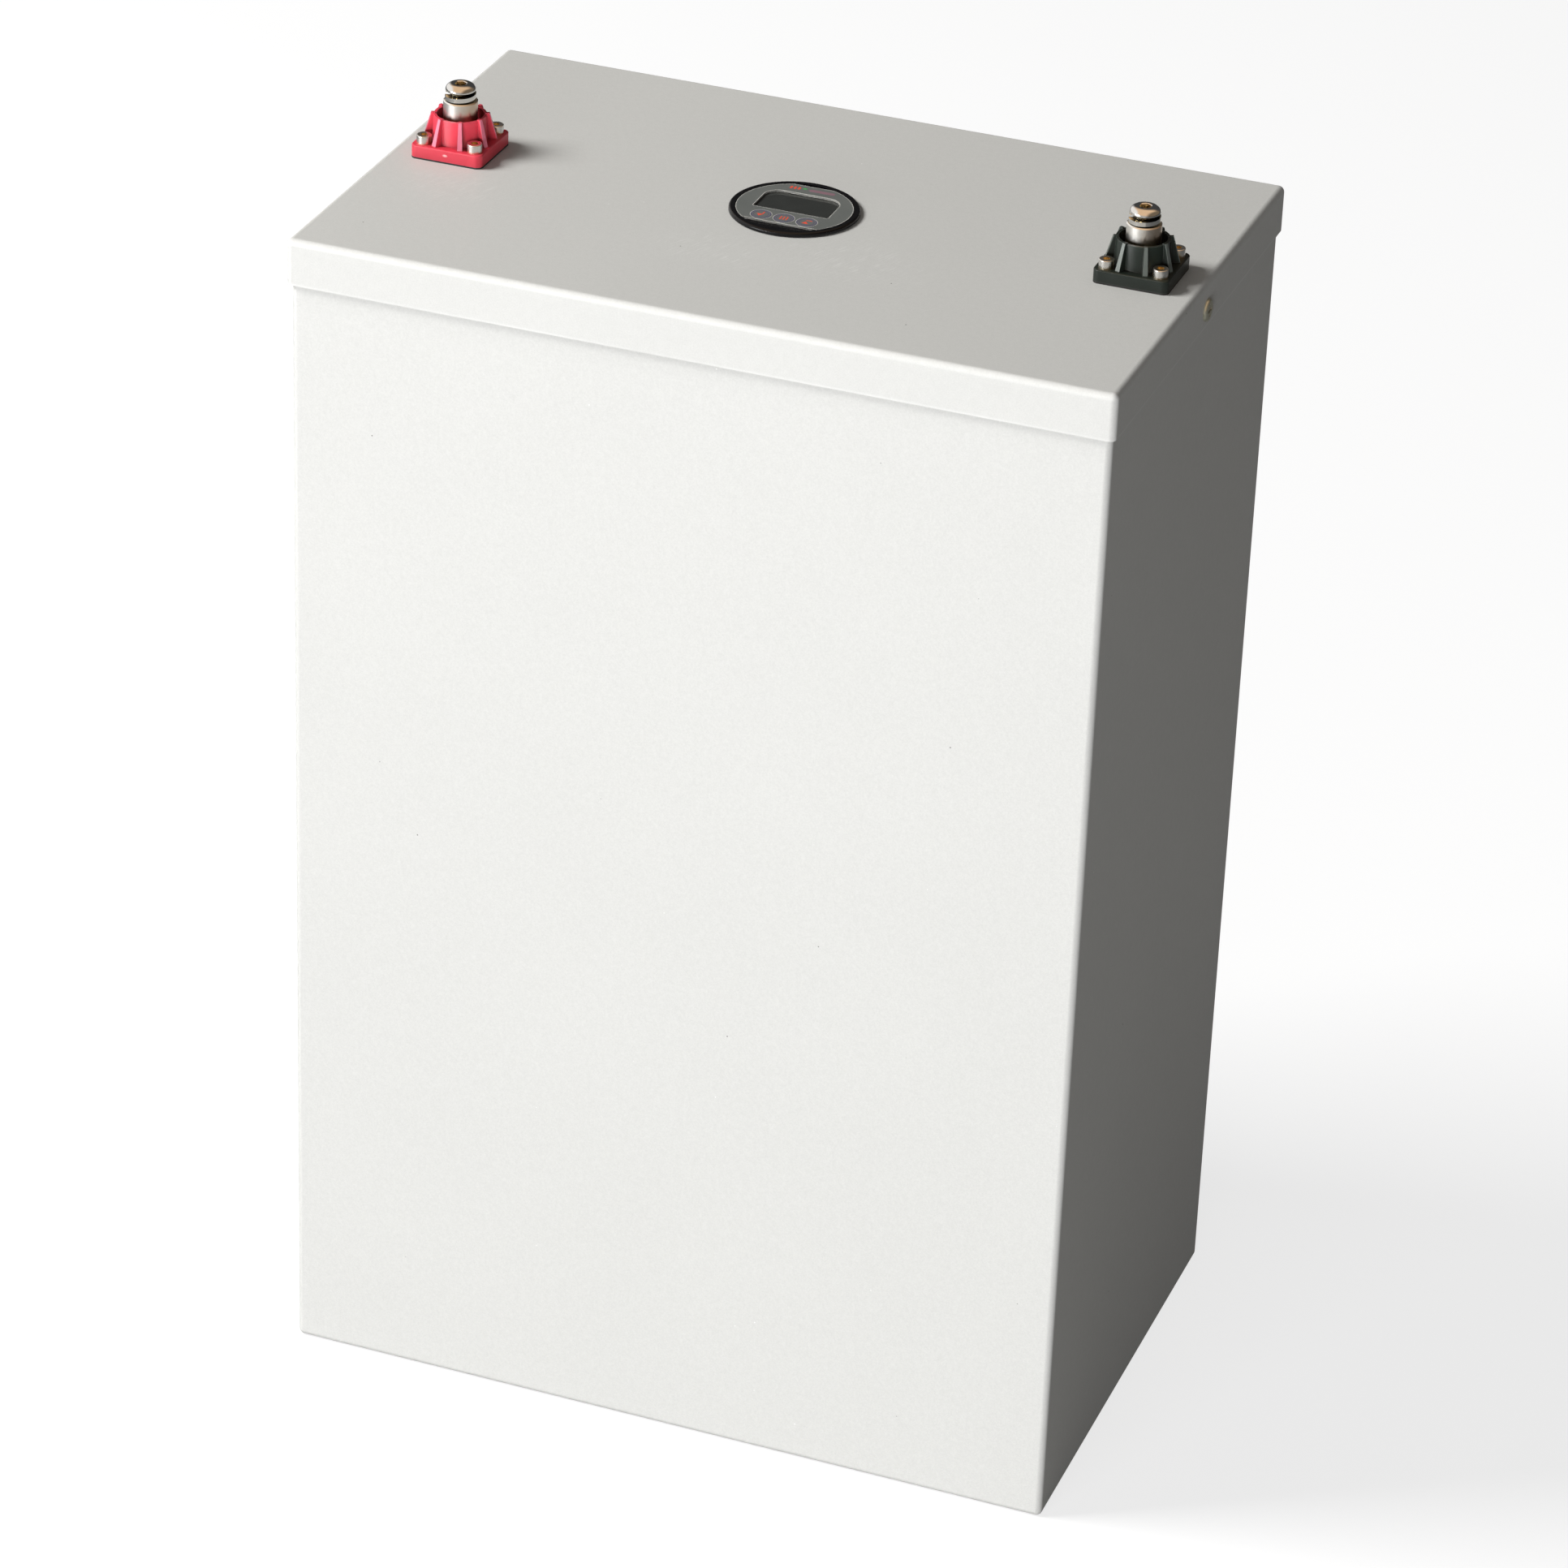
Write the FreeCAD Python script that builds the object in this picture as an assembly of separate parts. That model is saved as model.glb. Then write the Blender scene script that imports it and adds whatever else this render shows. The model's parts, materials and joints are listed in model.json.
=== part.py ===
import FreeCAD, Part
import math
import os

from FreeCAD import Vector

# Deep cycle battery in a folded steel case. Millimetres, +Z up. The origin is the centre of the
# underside. The front is -Y, the positive terminal is at -X and the negative one at +X.

# ---- Case and lid ----
LID_WIDTH = 390.0
LID_DEPTH = 252.0
LID_TOP = 588.0
SHEET = 1.5
BEND_RADIUS = 3.0
SKIRT_HEIGHT = 22.0
LID_GAP = 0.25
SEAL_THICKNESS = 1.0
SEAL_WIDTH = 4.0
SEAL_INSET = 3.5
RIM_WIDTH = 8.0
LID_UNDERSIDE = LID_TOP - SHEET
CASE_WIDTH = LID_WIDTH - 2 * (SHEET + LID_GAP)
CASE_DEPTH = LID_DEPTH - 2 * (SHEET + LID_GAP)
CASE_TOP = LID_UNDERSIDE - SEAL_THICKNESS

# ---- Screws: radii, head heights and widths across flats ----
THREAD_PLAY = 0.02
M4_RADIUS = 2.0
M4_HEAD_RADIUS = 3.5
M4_HEAD_HEIGHT = 4.0
M4_HEAD_ROUND = 0.4
M4_KEY = 3.0
M4_KEY_DEPTH = 2.2
M4_LENGTH = 12.0
M4_NUT = 7.0
M4_NUT_HEIGHT = 3.2
M4_CLEARANCE_RADIUS = 2.15
M5_RADIUS = 2.5
M5_LENGTH = 10.0
M5_HEAD_RADIUS = 5.25
M5_HEAD_HEIGHT = 1.6
M5_HEAD_ROUND = 1.1
M5_CLEARANCE_RADIUS = 2.75
M5_NUT_RADIUS = 4.75
M5_NUT_HEIGHT = 4.0
M6_RADIUS = 3.0
M6_CLEARANCE_RADIUS = 3.2
M6_NUT = 10.0
M6_NUT_HEIGHT = 5.0
M6_HEAD_HEIGHT = 4.0
M6_LENGTH = 10.0
M8_RADIUS = 4.0
M8_CLEARANCE_RADIUS = 4.2
M8_HEX = 13.0
M8_HEX_HEIGHT = 5.3
SIDE_SCREW_DROP = 13.5
SIDE_SCREW_Y = 5.0
SIDE_HOLE_REACH = 6.0
RECESS_SPAN = 5.6
RECESS_SLOT = 1.3
RECESS_DEPTH = 1.4

# ---- Terminals, heights measured from the lid's top ----
TERMINAL_X = 165.0
POSITIVE = -1
NEGATIVE = 1
BLOCK_SIDE = 35.3
BLOCK_CORNER = 3.0
BLOCK_EDGE = 0.6
BLOCK_GASKET = 0.8
PLATE_THICKNESS = 5.8
PLATE_TOP = BLOCK_GASKET + PLATE_THICKNESS
SCREW_PITCH = 25.2
COLLAR_HEIGHT = 11.9
COLLAR_TOP = PLATE_TOP + COLLAR_HEIGHT
COLLAR_RIM_RADIUS = 12.25
COLLAR_FOOT_RADIUS = 13.0
COLLAR_BORE_RADIUS = 11.0
COLLAR_FLOOR = PLATE_TOP + 1.2
RIB_COUNT = 8
RIB_TOP_THICKNESS = 1.5
RIB_FOOT_THICKNESS = 2.4
RIB_TOP_RADIUS = 13.5
RIB_FOOT_RADIUS = 17.1
RIB_RISE = 0.6
BOSS_RADIUS = 12.0
BOSS_BOTTOM = -SHEET - 6.0
BOSS_HOLE_RADIUS = 12.25
POST_RADIUS = 8.0
POST_TOP = 25.5
POST_BOTTOM = -18.0
POST_CHAMFER = 0.5
POST_HEX = 18.0
POST_HEX_BOTTOM = -6.0
POST_HEX_TOP = -3.0
POST_BORE_RADIUS = 4.05
POST_BORE_DEPTH = 18.0
POST_LOWER_BORE_DEPTH = 14.0
BOLT_HEAD_BOTTOM = 30.0
BOLT_HEAD_RADIUS = 7.0
BOLT_HEAD_HEIGHT = 3.4
BOLT_HEAD_EDGE = 0.6
BOLT_CROWN_RADIUS = 3.4
BOLT_SHOULDER_RADIUS = 5.7
BOLT_SHOULDER_RISE = 2.35
BOLT_LENGTH = 16.0
BOLT_KEY = 5.0
BOLT_KEY_DEPTH = 2.2
WASHER_OUTER_RADIUS = 7.2
WASHER_INNER_RADIUS = 4.1
WASHER_THICKNESS = 2.0
WASHER_TURN = 350.0
WASHER_START = 195.0

# ---- Meter, at the middle of the lid ----
METER_FLANGE_RADIUS = 30.0
METER_FLANGE_TOP = 2.3
METER_FLANGE_ROUND = 1.0
METER_GASKET = 0.5
METER_GASKET_RADIUS = 29.0
METER_BARREL_RADIUS = 26.0
METER_BARREL_WALL = 2.0
METER_BARREL_BOTTOM = -28.0
METER_HOLE_RADIUS = 26.25
METER_FLOOR = 1.2
METER_FLOOR_THICKNESS = 1.2
METER_RECESS_RADIUS = 27.1
FACEPLATE_RADIUS = 26.8
FACEPLATE_FRONT_FLAT = -19.6
FACEPLATE_BACK_FLAT = 25.0
FACEPLATE_TOP = 2.1
WINDOW_WIDTH = 36.4
WINDOW_FRONT = -5.9
WINDOW_BACK = 16.0
WINDOW_BACK_CORNER = 7.5
WINDOW_FRONT_CORNER = 0.8
WINDOW_PLAY = 0.1
LENS_TOP = 1.0
DISPLAY_WIDTH = 40.0
DISPLAY_MARGIN = 1.4
BOARD_TOP = -8.0
BOARD_THICKNESS = 1.6
BOARD_RADIUS = 23.8
BUTTON_PITCH = 11.0
BUTTON_Y = -13.8
BUTTON_RADIUS = 4.75
BUTTON_HOLE_RADIUS = 4.85
BUTTON_TOP = 2.15
BUTTON_THICKNESS = 0.5
STEM_RADIUS = 1.7
STEM_HOLE_RADIUS = 1.8
STEM_BOTTOM = -4.1
SWITCH_SIDE = 6.0
SWITCH_TOP = -3.5
SWITCH_WELL_BOTTOM = -4.6
RING_NUT_RADIUS = 31.0
RING_NUT_HEIGHT = 8.0
RING_NUT_GRIPS = 24
RING_NUT_GRIP_RADIUS = 1.6
COVER_THICKNESS = 2.0
METER_CABLE_RADIUS = 2.5
METER_CABLE_DROPS = (18.0, 20.0)
METER_CABLE_BENDS = (15.0, 15.0)

# ---- Cells: two columns, three deep, in two tiers ----
CELL_WIDTH = 173.7
CELL_DEPTH = 71.7
CELL_HEIGHT = 204.5
CELL_CORNER = 3.0
CELL_GAP = 1.0
TERMINAL_OFFSET = 60.0
PAD_RADIUS = 9.0
PAD_HEIGHT = 2.7
STUD_HEIGHT = 11.0
VENT_RADIUS = 8.0
VENT_DEPTH = 0.6
FOAM = 3.0
SHELF_SHEET = 2.0
SHELF_BOTTOM = 224.0
SHELF_HALF_WIDTH = 185.0
SHELF_HALF_DEPTH = 111.5
SHELF_LEG_HALF_DEPTH = 105.0
SHELF_TOP = SHELF_BOTTOM + SHELF_SHEET
LOWER_BASE = SHEET + FOAM
UPPER_BASE = SHELF_TOP + FOAM
COLUMN_X = (CELL_WIDTH + CELL_GAP) / 2
ROW_PITCH = CELL_DEPTH + CELL_GAP
ROWS = (-ROW_PITCH, 0.0, ROW_PITCH)
PACK_HALF_WIDTH = COLUMN_X + CELL_WIDTH / 2
PACK_HALF_DEPTH = ROW_PITCH + CELL_DEPTH / 2
SPACER_HEIGHT = 200.0
END_PLATE = 3.0
END_PLATE_WIDTH = 342.0
END_PLATE_HEIGHT = 200.0
END_PLATE_FLANGE = 14.0
SLOT_WIDTH = 60.0
SLOT_HEIGHT = 70.0
SLOT_CORNER = 8.0
SLOT_CENTRES = (-110.0, 0.0, 110.0)
SLOT_HEIGHT_CENTRE = 102.0
UPRIGHT_INNER = 60.0
UPRIGHT_OUTER = 110.0
BAND_THICKNESS = 0.6
BAND_WIDTH = 16.0
BAND_CORNER = 3.0
BAND_HEIGHTS = (45.0, 160.0)

# ---- Copper bars ----
STRAP_THICKNESS = 2.0
STRAP_MARGIN = 12.0
BAR_THICKNESS = 3.0
BAR_HALF_WIDTH = 13.0
RISER_INNER = 175.5
RISER_OUTER = RISER_INNER + BAR_THICKNESS
RISER_FOOT = 141.0
RISER_TOP = 470.0
OUTER_STUD_X = COLUMN_X + TERMINAL_OFFSET
INNER_STUD_X = COLUMN_X - TERMINAL_OFFSET
LOWER_STRAP = LOWER_BASE + CELL_HEIGHT + PAD_HEIGHT
UPPER_STRAP = UPPER_BASE + CELL_HEIGHT + PAD_HEIGHT

# ---- Deck over the cells ----
DECK_BOTTOM = 450.0
DECK_THICKNESS = 3.0
DECK_TOP = DECK_BOTTOM + DECK_THICKNESS
DECK_HALF_WIDTH = 172.0
DECK_HALF_DEPTH = 111.0
DECK_SCREW_X = 85.0
UNIT_X = (-50.0, 140.0)
UNIT_Y = (-95.0, 15.0)
UNIT_HEIGHT = 22.0
UNIT_TOP = DECK_TOP + UNIT_HEIGHT
SINK_X = (-35.0, 135.0)
SINK_Y = (-90.0, 10.0)
SINK_BASE = 3.0
SINK_HEIGHT = 15.0
FIN_PITCH = 8.0
FIN_THICKNESS = 2.0
INPUT_BLOCK_TOP = 460.0
OUTPUT_BLOCK_TOP = 463.0
INPUT_Y = ROWS[0]
OUTPUT_Y = -40.0
BLOCK_LENGTH = 16.0
LINK_X = 148.0
BAR_WEB_GAP = 9.0
BAR_WEB_X = UNIT_X[0] - BLOCK_LENGTH - BAR_WEB_GAP
SHUNT_X = (66.0, 148.0)
SHUNT_Y = 65.0
SHUNT_BLOCK = 18.0
SHUNT_BAR_COUNT = 3
SHUNT_BAR_THICKNESS = 2.0
FUSE_X = -150.0
FUSE_RADIUS = 14.0
FUSE_BODY = (15.0, 61.0)
FUSE_FAR_Y = 76.0
FUSE_TAB_HALF_WIDTH = 11.0
FUSE_TAB_END = 12.0
STANDOFF_RADIUS = 10.0
LUG_THICKNESS = 3.0
LUG_HALF_WIDTH = 11.0
LUG_BARREL_START = 14.0
LUG_BARREL_END = 32.0
LUG_BARREL_RADIUS = 7.5
CABLE_RADIUS = 6.0
CABLE_INSERT = 15.0
CABLE_CORNERS = {POSITIVE: (-74.0, -90.0), NEGATIVE: (-26.0, 70.0)}
CABLE_BENDS = {POSITIVE: (38.0, 38.0), NEGATIVE: (28.0, 38.0)}
WIRE_RADIUS = 0.6
WIRE_LAYER_START = 114.2
WIRE_LAYER_PITCH = 1.6
WIRE_START_X = -40.0
WIRE_START_PITCH = 4.0
WIRE_START_Z = 460.0
WIRE_END_Y = 80.0
WIRE_BENDS = (4.0, 4.0, 4.0)

# ---- Modelling aids: overlong cuts and matching of edges ----
OVERCUT = 1.0
TOUCH = 0.01


# ---- Shapes used by many pieces ----
def block(x_range, y_range, z_range):
    """A box between two limits on each axis."""
    size = [high - low for low, high in (x_range, y_range, z_range)]
    return Part.makeBox(*size, Vector(x_range[0], y_range[0], z_range[0]))


def centred_block(width, depth, low_z, high_z, centre=(0.0, 0.0)):
    """A box centred on a point of the XY plane."""
    x, y = centre
    return block((x - width / 2, x + width / 2), (y - depth / 2, y + depth / 2), (low_z, high_z))


def upright_edges(shape):
    """The edges that run straight up."""
    return [edge for edge in shape.Edges
            if edge.BoundBox.XLength < TOUCH and edge.BoundBox.YLength < TOUCH]


def edges_at_height(shape, height):
    """The edges that lie flat at one height."""
    return [edge for edge in shape.Edges
            if abs(edge.BoundBox.ZMin - height) < TOUCH and abs(edge.BoundBox.ZMax - height) < TOUCH]


def rounded_block(width, depth, radius, low_z, high_z, centre=(0.0, 0.0)):
    """A centred box with rounded upright edges."""
    body = centred_block(width, depth, low_z, high_z, centre)
    return body.makeFillet(radius, upright_edges(body))


def disc(radius, low_z, high_z, centre=(0.0, 0.0)):
    """An upright cylinder."""
    return Part.makeCylinder(radius, high_z - low_z, Vector(centre[0], centre[1], low_z))


def hexagon(across_flats, low_z, high_z, centre=(0.0, 0.0)):
    """An upright hexagonal prism with two of its flats facing along X."""
    corner_radius = across_flats / math.sqrt(3)
    corners = []
    for step in range(7):
        angle = math.radians(30 + 60 * step)
        x = centre[0] + corner_radius * math.cos(angle)
        y = centre[1] + corner_radius * math.sin(angle)
        corners.append(Vector(x, y, low_z))
    return Part.Face(Part.makePolygon(corners)).extrude(Vector(0, 0, high_z - low_z))


def joined(first, *others):
    """One solid from shapes that touch or overlap."""
    return first.fuse(list(others)).removeSplitter().Solids[0]


def save(node, *solids):
    """Write one node, which is a single solid or a group of separate solids."""
    shape = solids[0] if len(solids) == 1 else Part.makeCompound(list(solids))
    shape.exportStep("parts/" + node + ".step")


def nut(across_flats, bore_radius, low_z, height, centre):
    """A plain hexagon nut."""
    bore = disc(bore_radius, low_z - OVERCUT, low_z + height + OVERCUT, centre)
    return hexagon(across_flats, low_z, low_z + height, centre).cut(bore)


def hex_screw(across_flats, head_height, radius, length, seat_z, centre, upward=1):
    """A hexagon-head screw whose head sits on seat_z and points up, or down with upward=-1."""
    head = hexagon(across_flats, 0, head_height)
    shank = disc(radius, -length, 0)
    screw = joined(head, shank)
    if upward < 0:
        screw.rotate(Vector(0, 0, 0), Vector(1, 0, 0), 180)
    screw.translate(Vector(centre[0], centre[1], seat_z))
    return screw


def rod_between(start, end, radius):
    return Part.makeCylinder(radius, start.distanceToPoint(end), start, end - start)


def bent_rod(corners, bend_radii, radius):
    """A round rod along straight runs, with a round bend of its own radius at each inner corner."""
    points = [Vector(*corner) for corner in corners]
    pieces = []
    start = points[0]
    for before, corner, after, bend_radius in zip(points, points[1:], points[2:], bend_radii):
        arriving = (corner - before).normalize()
        leaving = (after - corner).normalize()
        angle = arriving.getAngle(leaving)
        trim = bend_radius * math.tan(angle / 2)
        bend_start = corner - arriving * trim
        axis = arriving.cross(leaving).normalize()
        centre = bend_start + axis.cross(arriving) * bend_radius
        profile = Part.Face(Part.Wire(Part.makeCircle(radius, bend_start, arriving)))
        pieces.append(rod_between(start, bend_start, radius))
        pieces.append(profile.revolve(centre, axis, math.degrees(angle)))
        start = corner + leaving * trim
    pieces.append(rod_between(start, points[-1], radius))
    return joined(*pieces)


# ---- Case and lid ----
def make_case():
    """The box: four walls, a floor and an inward rim, all one folded and welded sheet."""
    outer = centred_block(CASE_WIDTH, CASE_DEPTH, 0, CASE_TOP)
    outer = outer.makeFillet(BEND_RADIUS, outer.Edges)
    inner = centred_block(CASE_WIDTH - 2 * SHEET, CASE_DEPTH - 2 * SHEET, SHEET, CASE_TOP - SHEET)
    inner = inner.makeFillet(BEND_RADIUS - SHEET, inner.Edges)
    opening = rounded_block(CASE_WIDTH - 2 * RIM_WIDTH, CASE_DEPTH - 2 * RIM_WIDTH, BEND_RADIUS,
                            CASE_TOP - 2 * SHEET, CASE_TOP + OVERCUT)
    side_holes = [side_rod(side, M5_CLEARANCE_RADIUS) for side in (POSITIVE, NEGATIVE)]
    save("case_shell", outer.cut([inner, opening] + side_holes))


def side_rod(side, radius):
    """A cylinder across one short side, on the axis of its screw."""
    start = Vector(side * (LID_WIDTH / 2 + OVERCUT), SIDE_SCREW_Y, LID_TOP - SIDE_SCREW_DROP)
    return Part.makeCylinder(radius, SIDE_HOLE_REACH, start, Vector(-side, 0, 0))


def make_lid():
    """The lid, with holes for the terminals, the meter and the two side screws."""
    outer = centred_block(LID_WIDTH, LID_DEPTH, LID_TOP - SKIRT_HEIGHT, LID_TOP)
    outer = outer.makeFillet(BEND_RADIUS, upright_edges(outer) + edges_at_height(outer, LID_TOP))
    hollow = centred_block(LID_WIDTH - 2 * SHEET, LID_DEPTH - 2 * SHEET,
                           LID_TOP - SKIRT_HEIGHT - OVERCUT, LID_UNDERSIDE)
    hollow = hollow.makeFillet(BEND_RADIUS - SHEET,
                               upright_edges(hollow) + edges_at_height(hollow, LID_UNDERSIDE))
    through = (LID_UNDERSIDE - OVERCUT, LID_TOP + OVERCUT)
    holes = [disc(METER_HOLE_RADIUS, *through)]
    for side in (POSITIVE, NEGATIVE):
        holes.append(disc(BOSS_HOLE_RADIUS, *through, (side * TERMINAL_X, 0)))
        holes.append(side_rod(side, M5_CLEARANCE_RADIUS))
        holes += screw_holes(side, *through)
    save("lid", outer.cut([hollow] + holes))


def make_lid_seal():
    """The foam strip between the case's rim and the lid."""
    width = CASE_WIDTH - 2 * SEAL_INSET
    depth = CASE_DEPTH - 2 * SEAL_INSET
    outer = rounded_block(width, depth, BEND_RADIUS, CASE_TOP, LID_UNDERSIDE)
    inner = rounded_block(width - 2 * SEAL_WIDTH, depth - 2 * SEAL_WIDTH, OVERCUT,
                          CASE_TOP - OVERCUT, LID_UNDERSIDE + OVERCUT)
    save("lid_seal", outer.cut(inner))


def on_short_side(shape, side):
    """Lay a piece made about +Z on a short side, facing outwards, with its zero at the lid's skin."""
    shape.rotate(Vector(0, 0, 0), Vector(0, 1, 0), 90 * side)
    shape.translate(Vector(side * LID_WIDTH / 2, SIDE_SCREW_Y, LID_TOP - SIDE_SCREW_DROP))
    return shape


def side_screw(side):
    """A pan-head screw with a cross recess."""
    head = disc(M5_HEAD_RADIUS, 0, M5_HEAD_HEIGHT)
    head = head.makeFillet(M5_HEAD_ROUND, edges_at_height(head, M5_HEAD_HEIGHT))
    screw = joined(head, disc(M5_RADIUS, -M5_LENGTH, 0))
    recess_z = (M5_HEAD_HEIGHT - RECESS_DEPTH, M5_HEAD_HEIGHT + OVERCUT)
    slots = [centred_block(RECESS_SPAN, RECESS_SLOT, *recess_z),
             centred_block(RECESS_SLOT, RECESS_SPAN, *recess_z)]
    return on_short_side(screw.cut(slots), side)


def side_nut(side):
    """A round press nut on the inside of the case wall."""
    wall = 2 * SHEET + LID_GAP
    body = disc(M5_NUT_RADIUS, -wall - M5_NUT_HEIGHT, -wall)
    bore = disc(M5_RADIUS + THREAD_PLAY, -wall - M5_NUT_HEIGHT - OVERCUT, OVERCUT)
    return on_short_side(body.cut(bore), side)


def make_side_fasteners():
    save("side_screws", *[side_screw(side) for side in (POSITIVE, NEGATIVE)])
    save("side_nuts", *[side_nut(side) for side in (POSITIVE, NEGATIVE)])


# ---- Terminals ----
def block_screw_centres(side):
    """The four corners of one terminal block's screw square."""
    half = SCREW_PITCH / 2
    return [(side * TERMINAL_X + dx, dy) for dx in (-half, half) for dy in (-half, half)]


def screw_holes(side, low_z, high_z):
    return [disc(M4_CLEARANCE_RADIUS, low_z, high_z, centre) for centre in block_screw_centres(side)]


def collar_rib(angle):
    """One buttress: vertical against the collar, sloping out to the plate and thicker at its foot."""
    inner = (COLLAR_BORE_RADIUS + COLLAR_RIM_RADIUS) / 2
    low = PLATE_TOP - OVERCUT
    top = COLLAR_TOP + RIB_RISE
    foot_y = RIB_FOOT_THICKNESS / 2
    top_y = RIB_TOP_THICKNESS / 2
    slope = [(inner, low), (RIB_FOOT_RADIUS, low), (RIB_FOOT_RADIUS, PLATE_TOP),
             (RIB_TOP_RADIUS, top), (inner, top)]
    side_view = [Vector(radius, -foot_y, height) for radius, height in slope + slope[:1]]
    taper = [(foot_y, low), (top_y, top), (-top_y, top), (-foot_y, low)]
    end_view = [Vector(inner, y, height) for y, height in taper + taper[:1]]
    rib = Part.Face(Part.makePolygon(side_view)).extrude(Vector(0, RIB_FOOT_THICKNESS, 0))
    rib = rib.common(Part.Face(Part.makePolygon(end_view)).extrude(Vector(RIB_FOOT_RADIUS, 0, 0)))
    rib.rotate(Vector(0, 0, 0), Vector(0, 0, 1), angle)
    return rib


def terminal_block(side):
    """Square plate, ribbed collar and a boss through the lid, moulded round the post."""
    plate = rounded_block(BLOCK_SIDE, BLOCK_SIDE, BLOCK_CORNER, BLOCK_GASKET, PLATE_TOP)
    plate = plate.makeFillet(BLOCK_EDGE, edges_at_height(plate, PLATE_TOP))
    collar = Part.makeCone(COLLAR_FOOT_RADIUS, COLLAR_RIM_RADIUS, COLLAR_HEIGHT, Vector(0, 0, PLATE_TOP))
    boss = disc(BOSS_RADIUS, BOSS_BOTTOM, BLOCK_GASKET + OVERCUT)
    ribs = [collar_rib(360 * (step + 0.5) / RIB_COUNT) for step in range(RIB_COUNT)]
    body = joined(plate, collar, boss, *ribs)
    recess = disc(COLLAR_BORE_RADIUS, COLLAR_FLOOR, COLLAR_TOP + 2 * RIB_RISE)
    post_room = joined(disc(POST_RADIUS, BOSS_BOTTOM - OVERCUT, COLLAR_FLOOR + OVERCUT),
                       hexagon(POST_HEX, POST_HEX_BOTTOM, POST_HEX_TOP))
    for shape in (body, recess, post_room):
        shape.translate(Vector(side * TERMINAL_X, 0, 0))
    body = body.cut([recess, post_room] + screw_holes(side, -OVERCUT, PLATE_TOP + OVERCUT))
    return above_lid(body)


def above_lid(shape):
    """Lift a piece whose heights count from the lid's top."""
    shape.translate(Vector(0, 0, LID_TOP))
    return shape


def terminal_gasket(side):
    centre = (side * TERMINAL_X, 0)
    sheet = rounded_block(BLOCK_SIDE, BLOCK_SIDE, BLOCK_CORNER, 0, BLOCK_GASKET, centre)
    holes = screw_holes(side, -OVERCUT, PLATE_TOP)
    holes.append(disc(BOSS_HOLE_RADIUS, -OVERCUT, PLATE_TOP, centre))
    return above_lid(sheet.cut(holes))


def terminal_post(side):
    """Plated brass post: threaded at both ends, with a hexagon that keeps it from turning."""
    centre = (side * TERMINAL_X, 0)
    rod = disc(POST_RADIUS, POST_BOTTOM, POST_TOP, centre)
    rod = rod.makeChamfer(POST_CHAMFER, edges_at_height(rod, POST_TOP))
    body = joined(rod, hexagon(POST_HEX, POST_HEX_BOTTOM, POST_HEX_TOP, centre))
    upper_bore = disc(POST_BORE_RADIUS, POST_TOP - POST_BORE_DEPTH, POST_TOP + OVERCUT, centre)
    lower_bore = disc(POST_BORE_RADIUS, POST_BOTTOM - OVERCUT, POST_BOTTOM + POST_LOWER_BORE_DEPTH, centre)
    return above_lid(body.cut([upper_bore, lower_bore]))


def terminal_bolt(side):
    """Button-head bolt with a hexagon socket."""
    crown = BOLT_HEAD_BOTTOM + BOLT_HEAD_HEIGHT
    rim = Vector(BOLT_HEAD_RADIUS, 0, BOLT_HEAD_BOTTOM + BOLT_HEAD_EDGE)
    shoulder = Vector(BOLT_SHOULDER_RADIUS, 0, BOLT_HEAD_BOTTOM + BOLT_SHOULDER_RISE)
    crown_edge = Vector(BOLT_CROWN_RADIUS, 0, crown)
    dome = Part.Arc(rim, shoulder, crown_edge).toShape()
    seat_edge = Vector(BOLT_HEAD_RADIUS, 0, BOLT_HEAD_BOTTOM)
    axis_ends = [Vector(0, 0, crown), Vector(0, 0, BOLT_HEAD_BOTTOM)]
    rest = Part.makePolygon([crown_edge] + axis_ends + [seat_edge, rim])
    outline = Part.Wire([dome] + rest.Edges)
    head = Part.Face(outline).revolve(Vector(0, 0, 0), Vector(0, 0, 1), 360)
    shank = disc(M8_RADIUS, BOLT_HEAD_BOTTOM - BOLT_LENGTH, BOLT_HEAD_BOTTOM)
    shank = shank.makeChamfer(BOLT_HEAD_EDGE, edges_at_height(shank, BOLT_HEAD_BOTTOM - BOLT_LENGTH))
    socket = hexagon(BOLT_KEY, crown - BOLT_KEY_DEPTH, crown + OVERCUT)
    bolt = joined(head, shank).cut(socket)
    bolt.translate(Vector(side * TERMINAL_X, 0, 0))
    return above_lid(bolt)


def spring_washer(side):
    """Relaxed split washer: one square-section turn that climbs from the post to the bolt's head."""
    rise = BOLT_HEAD_BOTTOM - POST_TOP - WASHER_THICKNESS
    middle_radius = (WASHER_OUTER_RADIUS + WASHER_INNER_RADIUS) / 2
    helix = Part.makeHelix(rise * 360 / WASHER_TURN, rise, middle_radius)
    corners = [(WASHER_INNER_RADIUS, 0), (WASHER_OUTER_RADIUS, 0),
               (WASHER_OUTER_RADIUS, WASHER_THICKNESS), (WASHER_INNER_RADIUS, WASHER_THICKNESS)]
    section = Part.makePolygon([Vector(radius, 0, height) for radius, height in corners + corners[:1]])
    washer = Part.Wire(helix).makePipeShell([section], True, True).Solids[0]
    washer.rotate(Vector(0, 0, 0), Vector(0, 0, 1), WASHER_START)
    washer.translate(Vector(side * TERMINAL_X, 0, POST_TOP))
    return above_lid(washer)


def block_screw(centre):
    """Socket cap screw that clamps a terminal block to the lid."""
    head_top = PLATE_TOP + M4_HEAD_HEIGHT
    head = disc(M4_HEAD_RADIUS, PLATE_TOP, head_top, centre)
    head = head.makeFillet(M4_HEAD_ROUND, edges_at_height(head, head_top))
    shank = disc(M4_RADIUS, PLATE_TOP - M4_LENGTH, PLATE_TOP, centre)
    socket = hexagon(M4_KEY, head_top - M4_KEY_DEPTH, head_top + OVERCUT, centre)
    return above_lid(joined(head, shank).cut(socket))


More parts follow.
